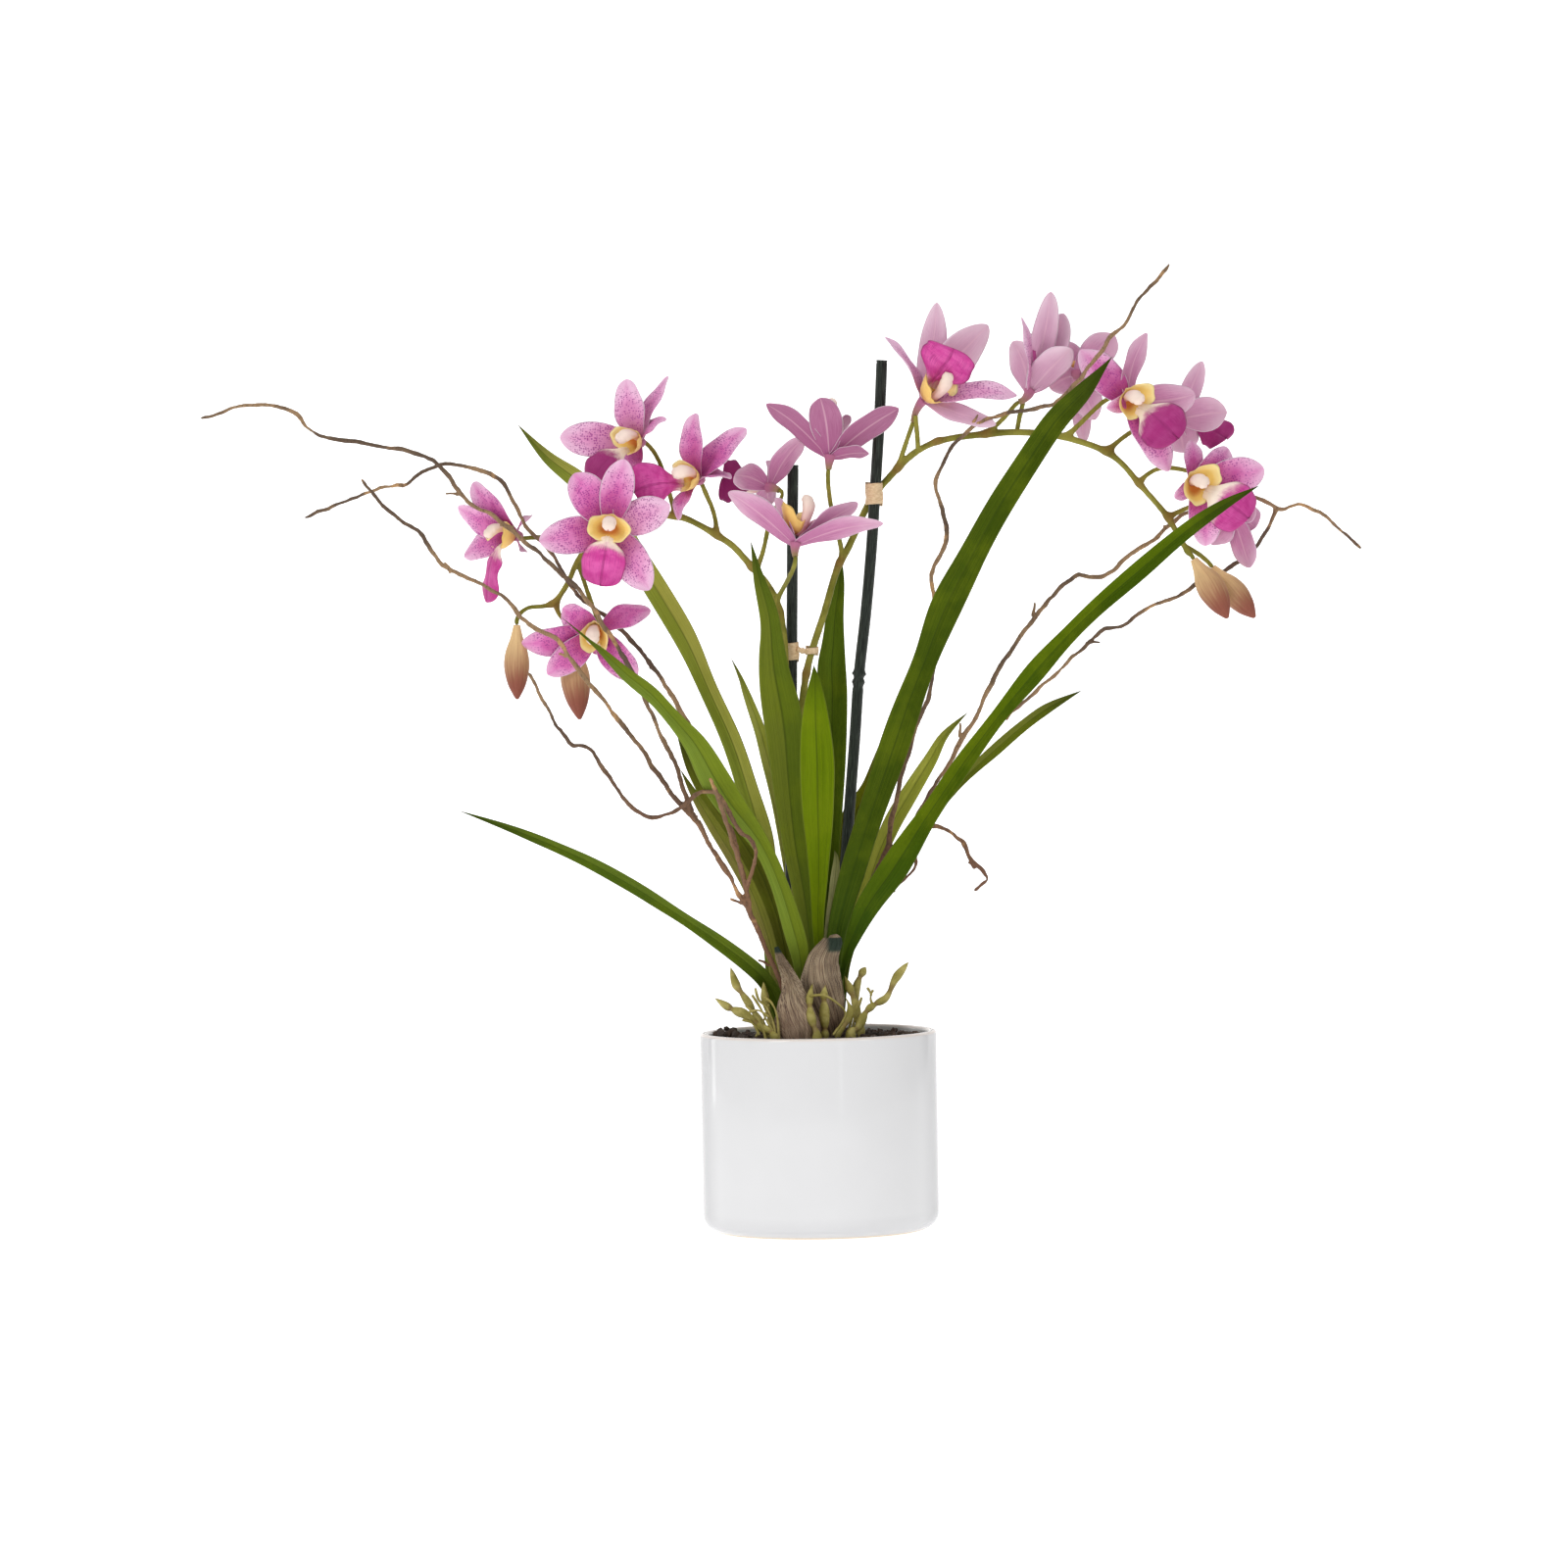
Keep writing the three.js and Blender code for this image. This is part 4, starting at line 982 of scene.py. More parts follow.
# Each flower has five spreading tepals, speckled mauve in front and dusty pink behind, a lip with
# a yellow cup and a broad magenta tongue, and a pale column. They are all one grown flower.
TEPAL_WIDTH = 21.5
TEPAL_HALF_THICK = 0.42
TONGUE_WIDTH = 26.5
TONGUE_HALF_THICK = 0.6
CUP_DEPTH = 13.5
COLUMN_LENGTH = 19
COLUMN_RADII = [1.8, 2.4, 2.7, 3.0, 3.5, 3.9, 3.7, 2.1]
NECK_RADII = [1.8, 2.1, 2.9, 3.6]
TIP_CROWDING = 1.5
TEPAL_GRID = (32, 28)
TONGUE_GRID = (40, 34)
CUP_GRID = (64, 28)
# All in mm from "at", where the five tepals meet. "face" is where the cup opens to, "fronts" where
# the tepals look if that is elsewhere, "looks" where the tongue looks, "lip" its end. A tip may
# carry the tepal's share of the common width and a direction of its own to look in. "seat" is how
# far cup and column stand off, "lean" how far the column's end is drawn aside. "cup" is the cup's
# share of the common width and depth, "tall" its height over its width, "broad" the tongue's share
# of the common width. "pale" or "tones" lighten the tepals, and below 0 darken their backs with
# painted shade. "dark" deepens the tongue with painted shade, "milk" widens its white part.
FLOWER_BASE = {
    "looks": None, "broad": 1, "cup": (1, 1), "tall": 1.05, "seat": (0, 0, 0), "lean": (0, 0, 0),
    "lobe": (0.5, 7, 1.4), "dark": 0, "milk": 0, "pale": 0,
}
FLOWERS = {
    "flower_left_1": {
        "at": (-9, -12, 420), "face": (0.12, 0.12, 0.98), "fronts": (0, 0.7, 0.7), "lip": (-10, 14, 12),
        "dark": 0.6, "cup": (0.86, 1.4), "broad": 0.5, "seat": (0, 8, 3), "lean": (6, 3, 6),
        "tips": [(-40, -4, 34, 0.86), (54, -6, 13, 0.82), (39, 12, 25, 0.8), (-12, 28, 28), (10, 32, 14)],
    },
    "flower_left_2": {
        "at": (-24, 24, 456), "face": (-0.85, 0.45, 0.1), "fronts": (-0.3, 0.85, 0.35),
        "lip": (-31, -2, 6), "looks": (0.3, -1, 0.1), "dark": 1.3, "cup": (0.3, 0.3), "milk": -0.4,
        "seat": (2, 8, 0),
        "tips": [(-22, -12, 8, 0.8), (21, -6, 30, 0.72), (-12, 32, -2, 0.8), (0, 24, -10, 0.7),
                 (2, 30, 12, 0.8)],
    },
    "flower_left_3": {
        "at": (-67, 8, 461), "face": (-0.72, -0.66, 0.2), "lip": (-40, -14, -7), "milk": -0.3,
        "looks": (-0.1, -1, 0.05), "dark": 0.25, "cup": (0.85, 0.9), "broad": 1.14,
        "tips": [(-2, 4, 41), (30, 6, 31, 1.05), (20, -4, 0, 0.85, -0.1, -0.25, 1),
                 (-15, -8, -24, 0.6), (15, 30, 20)],
    },
    "flower_left_4": {
        "at": (-103, 24, 485), "face": (-0.6, -0.75, 0.1), "lip": (-31, -12, -25), "dark": 1.1,
        "cup": (0.86, 1), "tones": (0.5, 0.6, 0.2, 0.2, 0),
        "tips": [(-7, 2, 39, 1.1), (-50, 6, 4, 1.0), (19, 8, 40, 0.9, -0.75, -0.4, 0.5),
                 (16, -6, 15, 0.8, -0.4, -0.4, 0.8), (-9, 16, -20)],
    },
    "flower_left_5": {
        "at": (-122, -14, 432), "face": (0, -1, 0.05), "lip": (-6, -12, -35), "milk": 0.04,
        "tones": (0, -0.4, 0.7, 0.3, 0.1),
        "tips": [(10, -4, 42), (-21, 2, 34, 1.1), (37, 0, 14, 1.05), (24, -4, -38, 1.1),
                 (-43, -3, -7, 1.05)],
    },
    "flower_left_6": {
        "at": (-179, 8, 429), "face": (-0.9, -0.42, 0.05), "lip": (-19, -6, -41), "dark": 0.3,
        "broad": 0.85, "cup": (0.95, 0.95),
        "tips": [(-28, 10, 33, 0.85, -0.6, -0.6, 0), (-37, 14, 18, 0.85, -0.2, -0.9, -0.6),
                 (-34, 16, -12, 0.9, -0.2, -0.9, 0.5), (7, 14, 12, 0.8), (6, 10, -10, 0.7)],
    },
    "flower_left_7": {
        "at": (-131, 4, 370), "face": (-0.12, -0.93, -0.3), "lip": (3, 8, -14), "broad": 0.45,
        "dark": 0.4, "cup": (0.66, 1.1), "tall": 1.75, "pale": -0.4,
        "tips": [(33, 4, 11, 0.84, -0.1, -0.75, 0.6), (-21, -4, 14, 0.85), (-47, 0, -8, 0.9),
                 (-31, -2, -26, 0.86), (23, 2, -30, 0.92)],
    },
    "flower_right_1": {
        "at": (13, 6, 473), "face": (0.12, 0.2, 0.97), "fronts": (0.05, 0.75, 0.65), "lip": (10, 18, 2),
        "dark": 0.5, "cup": (0.8, 1.35), "broad": 0.4, "seat": (5, 8, 1), "lean": (-6, 0, 15),
        "pale": -1,
        "tips": [(-38, 2, 35, 0.72), (-5, -12, 37, 0.95), (43, 2, 30, 0.86), (24, -12, 3, 0.5),
                 (14, 32, 24)],
    },
    "flower_right_2": {
        "at": (71, 6, 507), "face": (0.62, -0.55, 0.52), "lip": (19, -14, 31), "looks": (0, -1, 0),
        "dark": 0.15, "broad": 1.28, "fronts": (0.3, -0.6, 0.7), "cup": (1.0, 1.2), "pale": 0.8,
        "lean": (3, 0, 4), "milk": -0.3, "lobe": (0.26, 2.4, 0.5),
        "tips": [(-22, 2, 40, 0.75, 0.8, -0.3, 0.4), (10, 16, 60, 0.85, 0.1, 0.9, -0.3),
                 (41, 12, 46, 1.2, -0.3, 0.9, 0.3), (58, -2, 3, 0.85), (44, -12, -16, 0.6, 0.1, 0.9, -0.5)],
    },
    "flower_right_3": {
        "at": (136, 10, 511), "face": (0.35, 0.4, 0.84), "fronts": (0.3, 0.85, 0.3), "lip": (14, 12, 34),
        "cup": (0.3, 0.3), "dark": 0.9, "pale": 0.7, "milk": -0.4, "seat": (0, 4, 0),
        "tips": [(-3, -8, 46, 0.7, 0.9, -0.3, 0), (15, 5, 62, 0.74), (23, 14, 49, 0.95),
                 (26, -14, 26, 1.05, -0.4, 0.9, 0.3), (-9, 12, 32, 0.9)],
    },
    "flower_right_4": {
        "at": (166, 24, 522), "face": (0.1, 0.95, 0.2), "lip": (6, 14, -10), "dark": 0.8, "pale": 0.4,
        "tips": [(24, -2, 24), (11, -2, -28, 0.9), (4, 2, -42, 0.6), (-16, 8, -8), (-12, 14, 20)],
    },
    "flower_right_5": {
        "at": (195, -6, 504), "face": (0.34, -0.9, 0.02), "lip": (30, -18, -24),
        "looks": (0.25, -1, 0.1), "broad": 1.2, "dark": 0.85, "lobe": (0.5, 5, 5),
        "tips": [(-28, 2, 32, 1.05), (13, 6, 42, 0.85, -0.75, 0.6, 0), (43, 6, 3, 1.05, 0.3, 0.9, -0.3),
                 (25, 2, -43), (-13, -12, -4, 0.5, 0.8, -0.5, 0)],
    },
    "flower_right_6": {
        "at": (228, 26, 493), "face": (0.6, 0.8, 0.1), "fronts": (0.1, 0.95, 0), "lip": (30, 2, -12),
        "looks": (0.3, -1, 0.1), "dark": 0.9, "cup": (0.4, 0.4), "broad": 0.8, "pale": 0.5, "milk": -0.4,
        "tips": [(16, 4, 36, 0.62), (30, -6, 4, 1.02), (4, 10, -20), (-9, 22, 18), (-10, 20, -14)],
    },
    "flower_right_7": {
        "at": (235, -6, 452), "face": (0.28, -0.95, 0.06), "lip": (32, -18, -21), "looks": (0.1, -1, 0.15),
        "broad": 1.2, "dark": 0.35, "milk": 0.16, "cup": (1.08, 1),
        "tips": [(0, 6, 28, 0.6), (23, 8, 23, 0.82), (44, 2, 10, 1.15), (-13, 0, -8, 0.5, 0.9, -0.3, 0.4),
                 (7, 2, -37)],
    },
    "flower_right_8": {
        "at": (259, 18, 437), "face": (0.5, 0.8, -0.3), "lip": (2, 14, -6), "broad": 0.7, "dark": 0.5,
        "cup": (0.5, 0.5),
        "tips": [(12, 2, -36, 0.8), (17, 8, -12, 0.9), (16, 5, 1, 0.8), (-12, 4, -21, 0.8), (4, 8, 20)],
    },
}


def ribbon(name, line, side, front, half_width, grid, lift, thick, notch=0):
    """A thin two-faced blade along a line; lift and thick depend on the place across and along."""
    forward = unit(np.gradient(line, axis=0))

    def place(u, v):
        share = 1 - (1 - v) ** TIP_CROWDING
        across, face = blade(u)
        width = half_width(share)
        offset = (lift(across, share, width)
                  + face * thick * (1 - across ** 2) ** 0.4 * np.clip(width / 2, 0, 1))
        back = notch * np.exp(-(across / 0.2) ** 2) * share ** 10
        return (read(line, share) + read(side, share) * (across * width)[:, None]
                + read(front, share) * offset[:, None] - read(forward, share) * back[:, None])

    return sealed(draped(name, *grid, lambda u, v: place(u, v) * MM))


def across_line(line, face):
    """The side and front directions of a blade that lies along a line and looks along face."""
    forward = unit(np.gradient(line, axis=0))
    side = unit(np.cross(forward, face))
    return side, unit(np.cross(side, forward))


def tepal(throat, face, tip, draw):
    """One tepal, from the middle of the flower to its tip, with its own slight cup and wave."""
    out = np.array(tip[:3], float)
    face = unit(np.array(tip[4:], float)) if len(tip) > 4 else face
    share = np.linspace(0, 1, 40)
    bulge = draw.uniform(2.5, 4.5)
    curl = draw.uniform(-1.5, 3.0)
    sway = np.cross(unit(out), face) * draw.uniform(-1.2, 1.2)
    line = (throat + out * share[:, None] + face * (bulge * np.sin(np.pi * share)
            - curl * share ** 4)[:, None] + sway * np.sin(np.pi * share)[:, None])
    side, front = across_line(line, face)
    widest = draw.uniform(0.46, 0.54)
    width = TEPAL_WIDTH / 2 * draw.uniform(0.95, 1.04) * (tip[3] if len(tip) > 3 else 1)
    cup = draw.uniform(-0.1, 0.22)
    wave = draw.uniform(0, 6)

    def half_width(share):
        rising = 0.24 + 0.76 * np.sin(np.pi / 2 * np.clip(share / widest, 0, 1))
        falling = 1 - np.clip((share - widest) / (1 - widest), 0, 1) ** 2.3
        return width * rising * falling ** 0.66

    def lift(across, share, size):
        edge = 0.9 * np.abs(across) ** 3 * np.sin(share * 11 + wave + across)
        rib = -0.45 * np.exp(-(across / 0.1) ** 2) * (1 - share)
        veins = 0.07 * np.cos(across * 13) * (1 - across ** 2)
        return cup * across ** 2 * size + (edge + rib + veins) * np.clip(size / 5, 0, 1)

    return ribbon("tepal", line, side, front, half_width, TEPAL_GRID, lift, TEPAL_HALF_THICK)


def tongue(throat, face, lip, draw, looks, broad, lobe):
    """The broad front lobe of the lip, bent down from the mouth of the cup; lobe says how soon it
    is at its full width, how square its end is and how deep the notch there."""
    widening, squareness, notch = lobe
    down = unit(lip - face * (lip @ face))
    start = throat + face * 6 + down * 6
    crest = throat + face * (8 + max(lip @ face, 0) * 0.6) + down * 10
    end = throat + lip
    share = np.linspace(0, 1, 40)
    weights = np.stack([(1 - share) ** 2, 2 * share * (1 - share), share ** 2], axis=1)
    line = weights @ np.array([start, crest, end])
    side, front = across_line(line, face if looks is None else unit(np.array(looks, float)))
    wave = draw.uniform(0, 6)

    def half_width(share):
        opening = np.clip((share - 0.08) / widening, 0, 1)
        waist = 0.3 + 0.7 * opening ** 2 * (3 - 2 * opening)
        end = 1 - np.clip((share - 0.58) / 0.42, 0, 1) ** squareness
        return TONGUE_WIDTH / 2 * broad * waist * end ** 0.5 * (1 + 0.03 * np.sin(share * 19 + wave))

    def lift(across, share, size):
        edge = 1.5 * np.abs(across) ** 3 * np.sin(share * 15 + wave + across * 2)
        keels = 0.9 * np.exp(-((np.abs(across) - 0.2) / 0.08) ** 2) * np.clip(1 - share * 2.0, 0, 1)
        crease = -0.9 * np.exp(-(across / 0.1) ** 2) * share
        return -0.2 * across ** 2 * size + edge * share + keels + crease

    return ribbon("tongue", line, side, front, half_width, TONGUE_GRID, lift, TONGUE_HALF_THICK, notch)


def cup(throat, face, lip, shape, tall):
    """The two wavy side lobes of the lip, which stand round the column as one open bowl."""
    down = unit(lip - face * (lip @ face))
    side = np.cross(face, down)
    size, depth = shape

    def place(u, v):
        turn = 2 * np.pi * u
        out = 1 - np.abs(2 * v - 1)
        lobe = np.exp(-((np.abs((turn + np.pi) % (2 * np.pi) - np.pi) - 1.75) / 0.8) ** 2)
        reach = 0.8 + out ** 1.7 * (0.42 + 0.58 * lobe) * CUP_DEPTH * depth
        width = (0.92 * out ** 0.6 * (7.4 + 5.4 * lobe) + 0.9 * out ** 5 * (1 + lobe)) * size
        width = width * (1 + 0.035 * np.sin(turn * 5 + 1) * out ** 3 + 0.03 * np.sin(turn * 9) * out ** 4)
        reach = reach + (0.9 * np.sin(turn * 5 + 2) + 0.5 * np.sin(turn * 11 + 2)) * out ** 4
        shell = np.where(v > 0.5, 0.8, 0) * (1 - out ** 6) * np.clip(out * 6, 0, 1)
        ring = down * np.cos(turn + np.pi)[:, None] * tall + side * np.sin(turn)[:, None]
        return (throat + face * (reach - shell)[:, None] + ring * (width + shell * 0.7)[:, None]) * MM

    return sealed(draped("cup", *CUP_GRID, place))


def column(throat, face, lip, lean):
    """The pale club of the flower, arched over the lip, with its cap at the end."""
    down = unit(lip - face * (lip @ face))
    end = face * COLUMN_LENGTH
    points = [throat - down * 2, throat - down * 4 + end * 0.35 + lean * 0.4,
              throat - down * 3 + end * 0.7 + lean * 0.8, throat + down * 1.8 + end * 0.96 + lean]

    def radius(share, turn):
        groove = 1 - 0.14 * np.exp(-((share - 0.8) / 0.035) ** 2)
        flat = 1 - 0.14 * np.cos(turn * 2) - 0.08 * np.cos(turn) * share
        return MM * flow(COLUMN_RADII, share) * groove * flat

    return tube("column", np.array(points) * MM, radius, 20, 26, start=down)


def neck(throat, face, node):
    """The ovary, which runs from the end of the side stalk up to the back of the flower."""
    stalk = coordinates(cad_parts[node]) / MM
    gaps = np.linalg.norm(stalk - throat, axis=1)
    end = stalk[gaps < gaps.min() + 2.2].mean(axis=0)
    reach = min(np.linalg.norm(throat - end) * 0.5, 6)
    points = np.array([end, end * 0.4 + (throat - face * reach) * 0.6, throat - face * reach * 0.4,
                       throat + face * 1.5])
    return tube("neck", points * MM, lambda share, turn: MM * flow(NECK_RADII, share)
                * (1 + 0.06 * np.cos(turn * 3)), 15, 12)


bloom = Finish("orchid_bloom", Specular_IOR_Level=0.35, Sheen_Weight=0.08)
turn_bloom, rows_bloom = bloom.grid()
along_bloom = 1 - (1 - rows_bloom) ** TIP_CROWDING
across_bloom = 1 - bloom.gap(turn_bloom * 4, 2)
spread = bloom.gap(across_bloom, 0)
behind = bloom.rise(turn_bloom, 0.4995, 0.5005)
kind, luck, painted_lip_shade, milk, pale = map(bloom.noted, ("kind", "luck", "dark", "milk", "pale"))
on_bloom = bloom.node("ShaderNodeCombineXYZ", {}, {"X": across_bloom * 10, "Y": along_bloom * 40,
                                                   "Z": luck})
petal_cloud = bloom.cloud(on_bloom, 0.16, 4)
petal_vein = streaks(bloom, across_bloom + luck, along_bloom * 1.2, 13, 3, 4.0)
spot_cells = bloom.node("ShaderNodeTexVoronoi", {"feature": "F1"}, {
    "Vector": on_bloom, "Scale": 0.82, "Randomness": 0.6})
spot_here = bloom.rise(bloom.cloud(on_bloom, 0.2, 2), 0.3, 0.52)
spot_zone = bloom.rise(along_bloom, 0.05, 0.16) * (1 - bloom.rise(along_bloom, 0.72, 0.95))
spots = (1 - bloom.rise(spot_cells, 0.26, 0.5)) * spot_here * spot_zone
throat_glow = 1 - bloom.rise(along_bloom + spread * 0.15 + petal_cloud * 0.15, 0.1, 0.95)
tip_pale = bloom.rise(along_bloom + spread * 0.4 + petal_cloud * 0.25, 0.7, 1.45)
petal_front = bloom.coated(
    bloom.blend(bloom.rise(petal_cloud, 0.25, 0.75), (212, 96, 172), (228, 128, 194)),
    (throat_glow, (166, 34, 112)),
    (tip_pale + pale * 0.6, (240, 194, 222)),
    (bloom.rise(petal_vein, 0.48, 0.7) * 0.3, (168, 64, 140)),
    ((1 - bloom.rise(petal_vein, 0.3, 0.46)) * 0.3, (236, 170, 210)),
    (spots * 0.85, (150, 36, 130)))
petal_back = bloom.coated(
    bloom.blend(bloom.rise(petal_vein, 0.4, 0.65) * 0.6, (210, 144, 182), (168, 88, 140)),
    # Painted shade: where "pale" is below 0 the tepal backs are darkened.
    (bloom.rise(0 - pale, 0.3, 1.0) * 0.5, (132, 62, 98)),
    (throat_glow * 0.5, (164, 72, 126)),
    (tip_pale * 0.6 + pale * 0.5, (232, 200, 216)),
    ((1 - bloom.rise(spread, 0.02, 0.09)) * 0.4, (232, 192, 206)))
petal_tone = bloom.coated(bloom.blend(behind, petal_front, petal_back),
                          (bloom.rise(spread, 0.92, 0.99) * 0.8, (255, 234, 246)))

tongue_edge = bloom.rise(along_bloom + petal_cloud * 0.35 + petal_vein * 0.15 - spread * 0.12 - milk,
                         0.4, 0.66)
tongue_crease = (1 - bloom.rise(spread, 0.02, 0.1)) * 0.4
# Painted shade: "dark" deepens the tongue towards a shaded magenta.
tongue_dark = bloom.coated(
    bloom.blend(bloom.rise(petal_cloud, 0.3, 0.7), (202, 48, 144), (226, 92, 174)),
    (bloom.rise(along_bloom, 0.7, 1.0) * 0.4, (176, 40, 124)),
    (painted_lip_shade * 0.75, (136, 6, 92)),
    (bloom.rise(petal_vein, 0.5, 0.68) * 0.6 + tongue_crease, (140, 12, 98)))
tongue_tone = bloom.coated(bloom.blend(tongue_edge, (252, 236, 220), tongue_dark),
                           (behind * 0.35, (206, 104, 164)))

cup_rim = 1 - bloom.gap(rows_bloom * 2, 1)
# The cup is deep orange low in its hollow under the column, partly its own colour and partly painted shade.
cup_inner = bloom.coated(
    bloom.blend(bloom.rise(cup_rim, 0.12, 0.6), (206, 120, 44), (250, 216, 122)),
    (bloom.rise(cup_rim + petal_cloud * 0.5, 0.9, 1.25) * 0.7, (255, 238, 178)))
cup_outer = bloom.blend(bloom.rise(cup_rim + petal_cloud * 0.5, 0.4, 1.2), (184, 108, 58),
                        (244, 200, 112))
cup_tone = bloom.blend(bloom.rise(rows_bloom, 0.495, 0.505), cup_inner, cup_outer)
column_spot = bloom.rise(bloom.gap(turn_bloom, 0.5), 0.36, 0.46) * bloom.rise(rows_bloom, 0.84, 0.9)
column_tone = bloom.coated(
    bloom.blend(bloom.rise(rows_bloom, 0.1, 0.8), (222, 158, 160), (248, 226, 212)),
    (column_spot * 0.8, (186, 84, 50)))
neck_tone = bloom.blend(bloom.rise(rows_bloom, 0.1, 0.8), (150, 122, 84), (178, 100, 136))
# Tepals are kind 0; tongue, cup, column and neck are kinds 1 to 4
bloom.paint(
    Base_Color=bloom.coated(petal_tone, *(
        (bloom.math("COMPARE", kind, number, 0.3), tone)
        for number, tone in enumerate((tongue_tone, cup_tone, column_tone, neck_tone), 1))),
    Roughness=0.5 + petal_vein * 0.15,
    Normal=bloom.bump(petal_vein + petal_cloud * 0.4, 0.0005, 0.6),
)

for number, (node, own) in enumerate(FLOWERS.items()):
    flower = {"fronts": own["face"], **FLOWER_BASE, **own}
    draw = np.random.default_rng(40 + number)
    throat, lip, seat, lean = (np.array(flower[key], float) for key in ("at", "lip", "seat", "lean"))
    face, fronts = (unit(np.array(flower[key], float)) for key in ("face", "fronts"))
    core = throat + face * 2.5 + seat
    parts = [tepal(throat, fronts, tip, draw) for tip in flower["tips"]]
    tones = flower.get("tones", [flower["pale"]] * len(parts))
    for part_number, (part, tone) in enumerate(zip(parts, tones)):
        mark(part, "luck", number * 7.3 + part_number * 1.9)
        mark(part, "pale", tone)
        mark(part, "kind", 0)
    others = [tongue(core, face, lip - face * 2.5, draw, flower["looks"], flower["broad"], flower["lobe"]),
              cup(core, face, lip, flower["cup"], flower["tall"]),
              column(core, face, lip, lean),
              neck(throat, face, "flower_spike_" + node.split("_")[1])]
    for kind_number, part in enumerate(others, 1):
        mark(part, "luck", number * 5.1)
        mark(part, "dark", flower["dark"])
        mark(part, "milk", flower["milk"])
        mark(part, "kind", kind_number)
    fitted(joined(node + "_bloom", parts + others), bloom, "petal", node)


# The buds are closed flowers: three outer tepals wrapped edge over edge round the rest, cream at
# the stalk and dusty red-brown towards the point.
BUD_GRID = (54, 44)
BUD_GIRTH = {"bud_left_1": 1.14, "bud_left_2": 1.32, "bud_right_1": 1.28, "bud_right_2": 1.18}


def bud(node):
    rings = rings_of(node)[1:]
    centres = np.array([ring.mean(axis=0) for ring in rings])
    sizes = [np.linalg.norm(ring - ring.mean(axis=0), axis=1).mean() for ring in rings]

    def radius(share, turn):
        size = flow(sizes, share) * BUD_GIRTH[node]
        seam = np.abs(np.cos(turn * 1.5 + share * 0.5)) ** 18
        overlap = 0.035 * (((turn + share * 0.4) % (2 * np.pi / 3)) / (2 * np.pi / 3))
        return size * (1 - 0.06 * seam + overlap + 0.012 * np.cos(turn * 12))

    return tube(node + "_closed", centres, radius, *BUD_GRID)


bud_skin = Finish("bud_skin", Specular_IOR_Level=0.25)
turn_bud, along_bud = bud_skin.grid()
bud_streak = streaks(bud_skin, turn_bud, along_bud * 1.3, 26, 2, 4.0)
bud_tip = bud_skin.rise(along_bud + bud_streak * 0.35, 0.22, 0.9)
bud_skin.paint(
    Base_Color=bud_skin.coated(bud_skin.blend(bud_tip, (228, 194, 140), (132, 72, 56)),
                               (bud_skin.rise(bud_streak, 0.52, 0.75) * 0.4, (170, 110, 84))),
    Roughness=0.5 + bud_streak * 0.15,
    Normal=bud_skin.bump(bud_streak, 0.0005, 0.5),
)
for node in BUD_GIRTH:
    fitted(bud(node), bud_skin, "bud", node)


# The aerial roots are knobbly olive shoots that stand out of the soil round the bulbs, swollen
# between brownish joints and pointed at the end. Thin rootlets run between them.
ROOT_NODES = ["aerial_root_%d" % number for number in range(1, 10)]
ROOT_KNOB = 0.0125
ROOT_RADIUS = 0.00145
ROOT_SWELL = 0.0017
ROOT_GRID = (18, 90)
ROOTLET_RADIUS = 0.0007
ROOTLETS = [
    [(-5, -24, 145), (5, -26, 145), (16, -22, 136), (15, -22, 129), (9, -24, 121)],
    [(-44, -24, 140), (-38, -26, 134), (-34, -30, 127), (-32, -33, 119)],
    [(-40, -20, 146), (-35, -22, 138), (-31, -26, 130), (-25, -28, 120)],
    [(-46, -22, 131), (-40, -26, 129), (-36, -30, 122)],
    [(-30, -20, 140), (-33, -24, 131), (-38, -28, 121)],
    [(34, -5, 137), (32.5, -5.5, 141), (32.5, -6, 145), (30.5, -6, 148.5)],
    [(32.5, -6, 143.5), (34, -6, 147)],
    [(26, -8, 141), (22, -9, 133), (19, -10, 124)],
    [(27, 2, 142), (25, 0, 136), (22, -2, 128), (21, -4, 119)],
    [(-38, -18, 150), (-36, -20, 143), (-31, -24, 138), (-27, -27, 128), (-26, -29, 119)],
    [(-33, -22, 145), (-28, -25, 141), (-25, -28, 133), (-24, -30, 119)],
    [(-48, -18, 134), (-43, -22, 133), (-39, -26, 128), (-29, -30, 121)],
    [(-42, -26, 136), (-36, -28, 137), (-30, -29, 133)],
]


def root(node, number):
    rings = rings_of(node)[1:-1]
    centres = np.array([ring.mean(axis=0) for ring in rings])
    length = np.linalg.norm(np.diff(centres, axis=0), axis=1).sum()
    knobs = max(2, round(length / ROOT_KNOB))

    def swelling(share):
        uneven = share + 0.05 * np.sin(share * 9 + number)
        return np.abs(np.sin(np.pi * uneven * knobs))

    def radius(share, turn):
        size = ROOT_RADIUS + (ROOT_SWELL * swelling(share) ** 1.1
                              * (0.8 + 0.3 * np.sin(share * 7 + number)))
        point = np.clip(share * knobs * 1.6, 0.05, 1) ** 0.8
        return size * point * (1 + 0.05 * np.cos(turn * 3 + share * 9))

    return tube(node + "_shoot", centres, radius, *ROOT_GRID, note=swelling)


roots = [root(node, number) for number, node in enumerate(ROOT_NODES)]
rootlets = joined("fine_rootlets", [
    tube("rootlet", np.array(points) * MM,
         lambda share, turn: ROOTLET_RADIUS + 0.00015 * np.sin(share * 9) * (share > 0), 10, 30,
         note=lambda share: 0.4 + 0 * share)
    for points in ROOTLETS])

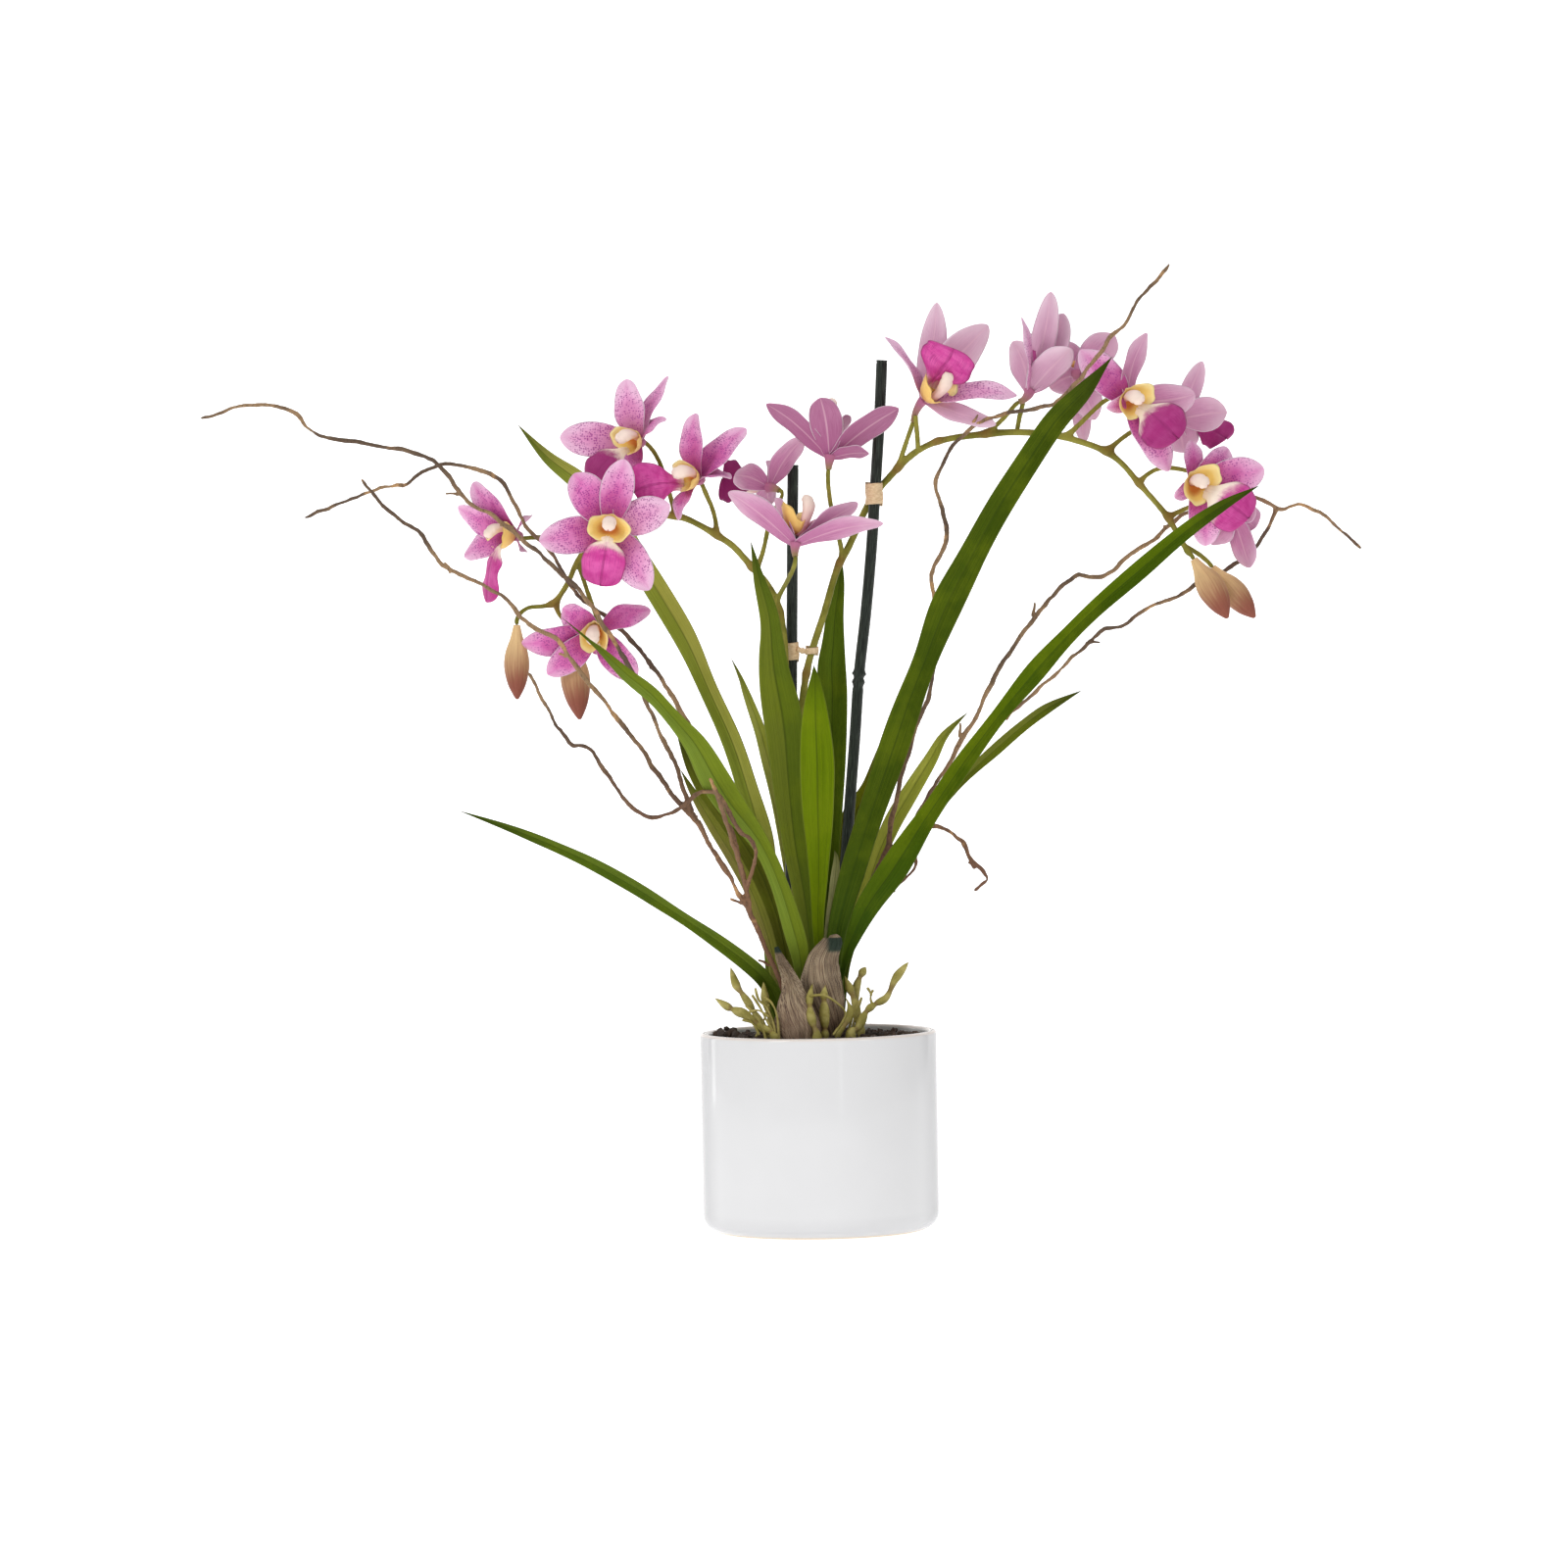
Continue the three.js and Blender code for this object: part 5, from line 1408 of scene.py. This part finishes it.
root_skin = Finish("aerial_root_skin", Specular_IOR_Level=0.4)
root_cloud = root_skin.cloud(root_skin.place(), 130, 3)
root_fine = root_skin.cloud(root_skin.place(), 900, 3)
at_joint = 1 - root_skin.rise(root_skin.noted("note"), 0.12, 0.5)
root_skin.paint(
    Base_Color=root_skin.coated(
        root_skin.blend(root_skin.rise(root_cloud, 0.35, 0.65), (146, 136, 60), (178, 166, 94)),
        (at_joint * 0.55, (120, 88, 52)),
        (root_skin.rise(root_fine, 0.56, 0.74) * 0.4, (120, 92, 50))),
    Roughness=0.5 + root_fine * 0.2,
    Normal=root_skin.bump(root_fine, 0.0005, 0.5),
)
for node, piece in zip(ROOT_NODES, roots):
    fitted(piece, root_skin, "root", node)
fitted(rootlets, root_skin, "root")


# The raffia ties are pale dry palm fibre, wound several turns tight round cane and stem. The left
# one is twisted into a short neck that holds the right spike's stem in a loop.
RAFFIA_HALF_THICK = 0.24
RAFFIA_NECK_RADIUS = 0.0017


def wound(name, centre, reach_x, reach_y, height, turns):
    """A flat strand wound round and up; centre is the middle of its lowest turn, in mm."""

    def place(u, v):
        turn = 2 * np.pi * turns * v
        rise = height * (0.12 + 0.76 * v) + 0.25 * np.sin(turn * 0.37 + 1)
        push = 0.3 * np.sin(turn * 0.61) ** 2 + 0.12 * np.sin(turn * 3.1)
        across, face = blade(u)
        out = push + face * RAFFIA_HALF_THICK * (1 - across ** 2) ** 0.5 + 0.1 * np.cos(across * 9)
        x = centre[0] + (reach_x + out) * np.cos(turn)
        y = centre[1] + (reach_y + out) * np.sin(turn)
        z = centre[2] + rise + across * height / turns * 0.62
        return np.stack([x, y, z], axis=1) * MM

    return sealed(draped(name, 16, int(turns * 40), place), open_ends=True)


tie_right = wound("raffia_tie_upper", (40.3, 29.0, 442.5), 5.0, 8.0, 16.5, 6.5)
tie_neck = tube("raffia_neck", np.array([(-8.6, 32.6, 356), (-5.5, 32.4, 355), (-3.2, 32, 354.6)]) * MM,
                lambda share, turn: RAFFIA_NECK_RADIUS + 0.0003 * np.sin(turn * 2 + share * 14), 20, 24)
tie_left = joined("raffia_tie_lower", [
    wound("raffia_band", (-12.6, 36, 347.6), 4.6, 4.6, 14, 5.5),
    tie_neck,
    wound("raffia_loop", (0.3, 31, 352.2), 3.7, 3.3, 5.4, 2.5),
])

raffia = Finish("dry_raffia")
strand = raffia.cloud(raffia.place((0.15, 0.15, 1)), 2600, 3)
raffia.paint(
    Base_Color=raffia.blend(raffia.rise(strand, 0.3, 0.7), (218, 182, 136), (246, 220, 182)),
    Roughness=0.7 + strand * 0.2,
    Normal=raffia.bump(strand, 0.0005, 0.8),
)
fitted(tie_right, raffia, "raffia", "raffia_tie_right")
fitted(tie_left, raffia, "raffia", "raffia_tie_left")


# The studio is a plain pale sweep with broad soft lights on both sides and above, and a long lens
# a little above the middle of the plant.
from mathutils import Vector

CAMERA_AT = (-0.0183, -4.0, 0.387)
CAMERA_DOWN = 1.62
CAMERA_ROLL = -1.0
CAMERA_LENS = 150
CAMERA_SENSOR = 36
SWEEP_SIZE = 14
AIR_LIGHT = 0.38

start_clean()
bpy.ops.mesh.primitive_plane_add(size=SWEEP_SIZE, location=(0, 0, 0))
floor = bpy.context.object
floor.name = "studio_floor"
pick_edges(floor, lambda point: point.y > 1)
bpy.ops.mesh.extrude_region_move(TRANSFORM_OT_translate={"value": (0, 0, SWEEP_SIZE / 2)})
bpy.ops.object.mode_set(mode="OBJECT")
paper = Finish("studio_paper", Roughness=0.9, Emission_Color=(1, 1, 1, 1), Emission_Strength=0.7)
paper.paint(Base_Color=paper.blend(paper.cloud(paper.place(), 2, 1), (240, 240, 240), (244, 244, 244)))
floor.data.materials.append(paper.material)


def softbox(name, at, aim_height, size, power):
    """A soft lamp that shines on the plant's middle line at one height."""
    start_clean()
    bpy.ops.object.light_add(type="AREA", location=at)
    lamp = bpy.context.object
    lamp.name = name
    lamp.data.shape = "RECTANGLE"
    lamp.data.size, lamp.data.size_y = size
    lamp.data.energy = power
    lamp.rotation_euler = (Vector((0, 0, aim_height)) - Vector(at)).to_track_quat("-Z", "Y").to_euler()


softbox("key_left", (-1.9, -2.0, 2.0), 0.3, (0.8, 1.6), 29)
softbox("fill_right", (2.4, -2.2, 1.4), 0.3, (0.5, 1.8), 10)
softbox("top", (0.2, -0.3, 2.8), 0.3, (1.8, 1.4), 16)
softbox("tall_strip_rear", (-2.0, 1.3, 0.8), 0.8, (0.3, 1.6), 3)
softbox("tall_strip_front", (1.05, -2.8, 0.72), 0.72, (0.22, 1.35), 1.6)

world = bpy.data.worlds.new("studio_air")
bpy.context.scene.world = world
world.use_nodes = True
background = world.node_tree.nodes["Background"]
background.inputs["Color"].default_value = (1, 1, 1, 1)
background.inputs["Strength"].default_value = AIR_LIGHT

start_clean()
bpy.ops.object.camera_add(location=CAMERA_AT, rotation=(np.radians(90 - CAMERA_DOWN), 0, 0))
camera = bpy.context.object
camera.name = "photo_camera"
camera.data.lens = CAMERA_LENS
camera.data.sensor_width = CAMERA_SENSOR
camera.data.clip_end = 50
camera.rotation_euler.rotate_axis("Z", np.radians(CAMERA_ROLL))
bpy.context.scene.camera = camera
bpy.context.scene.view_settings.view_transform = "Standard"
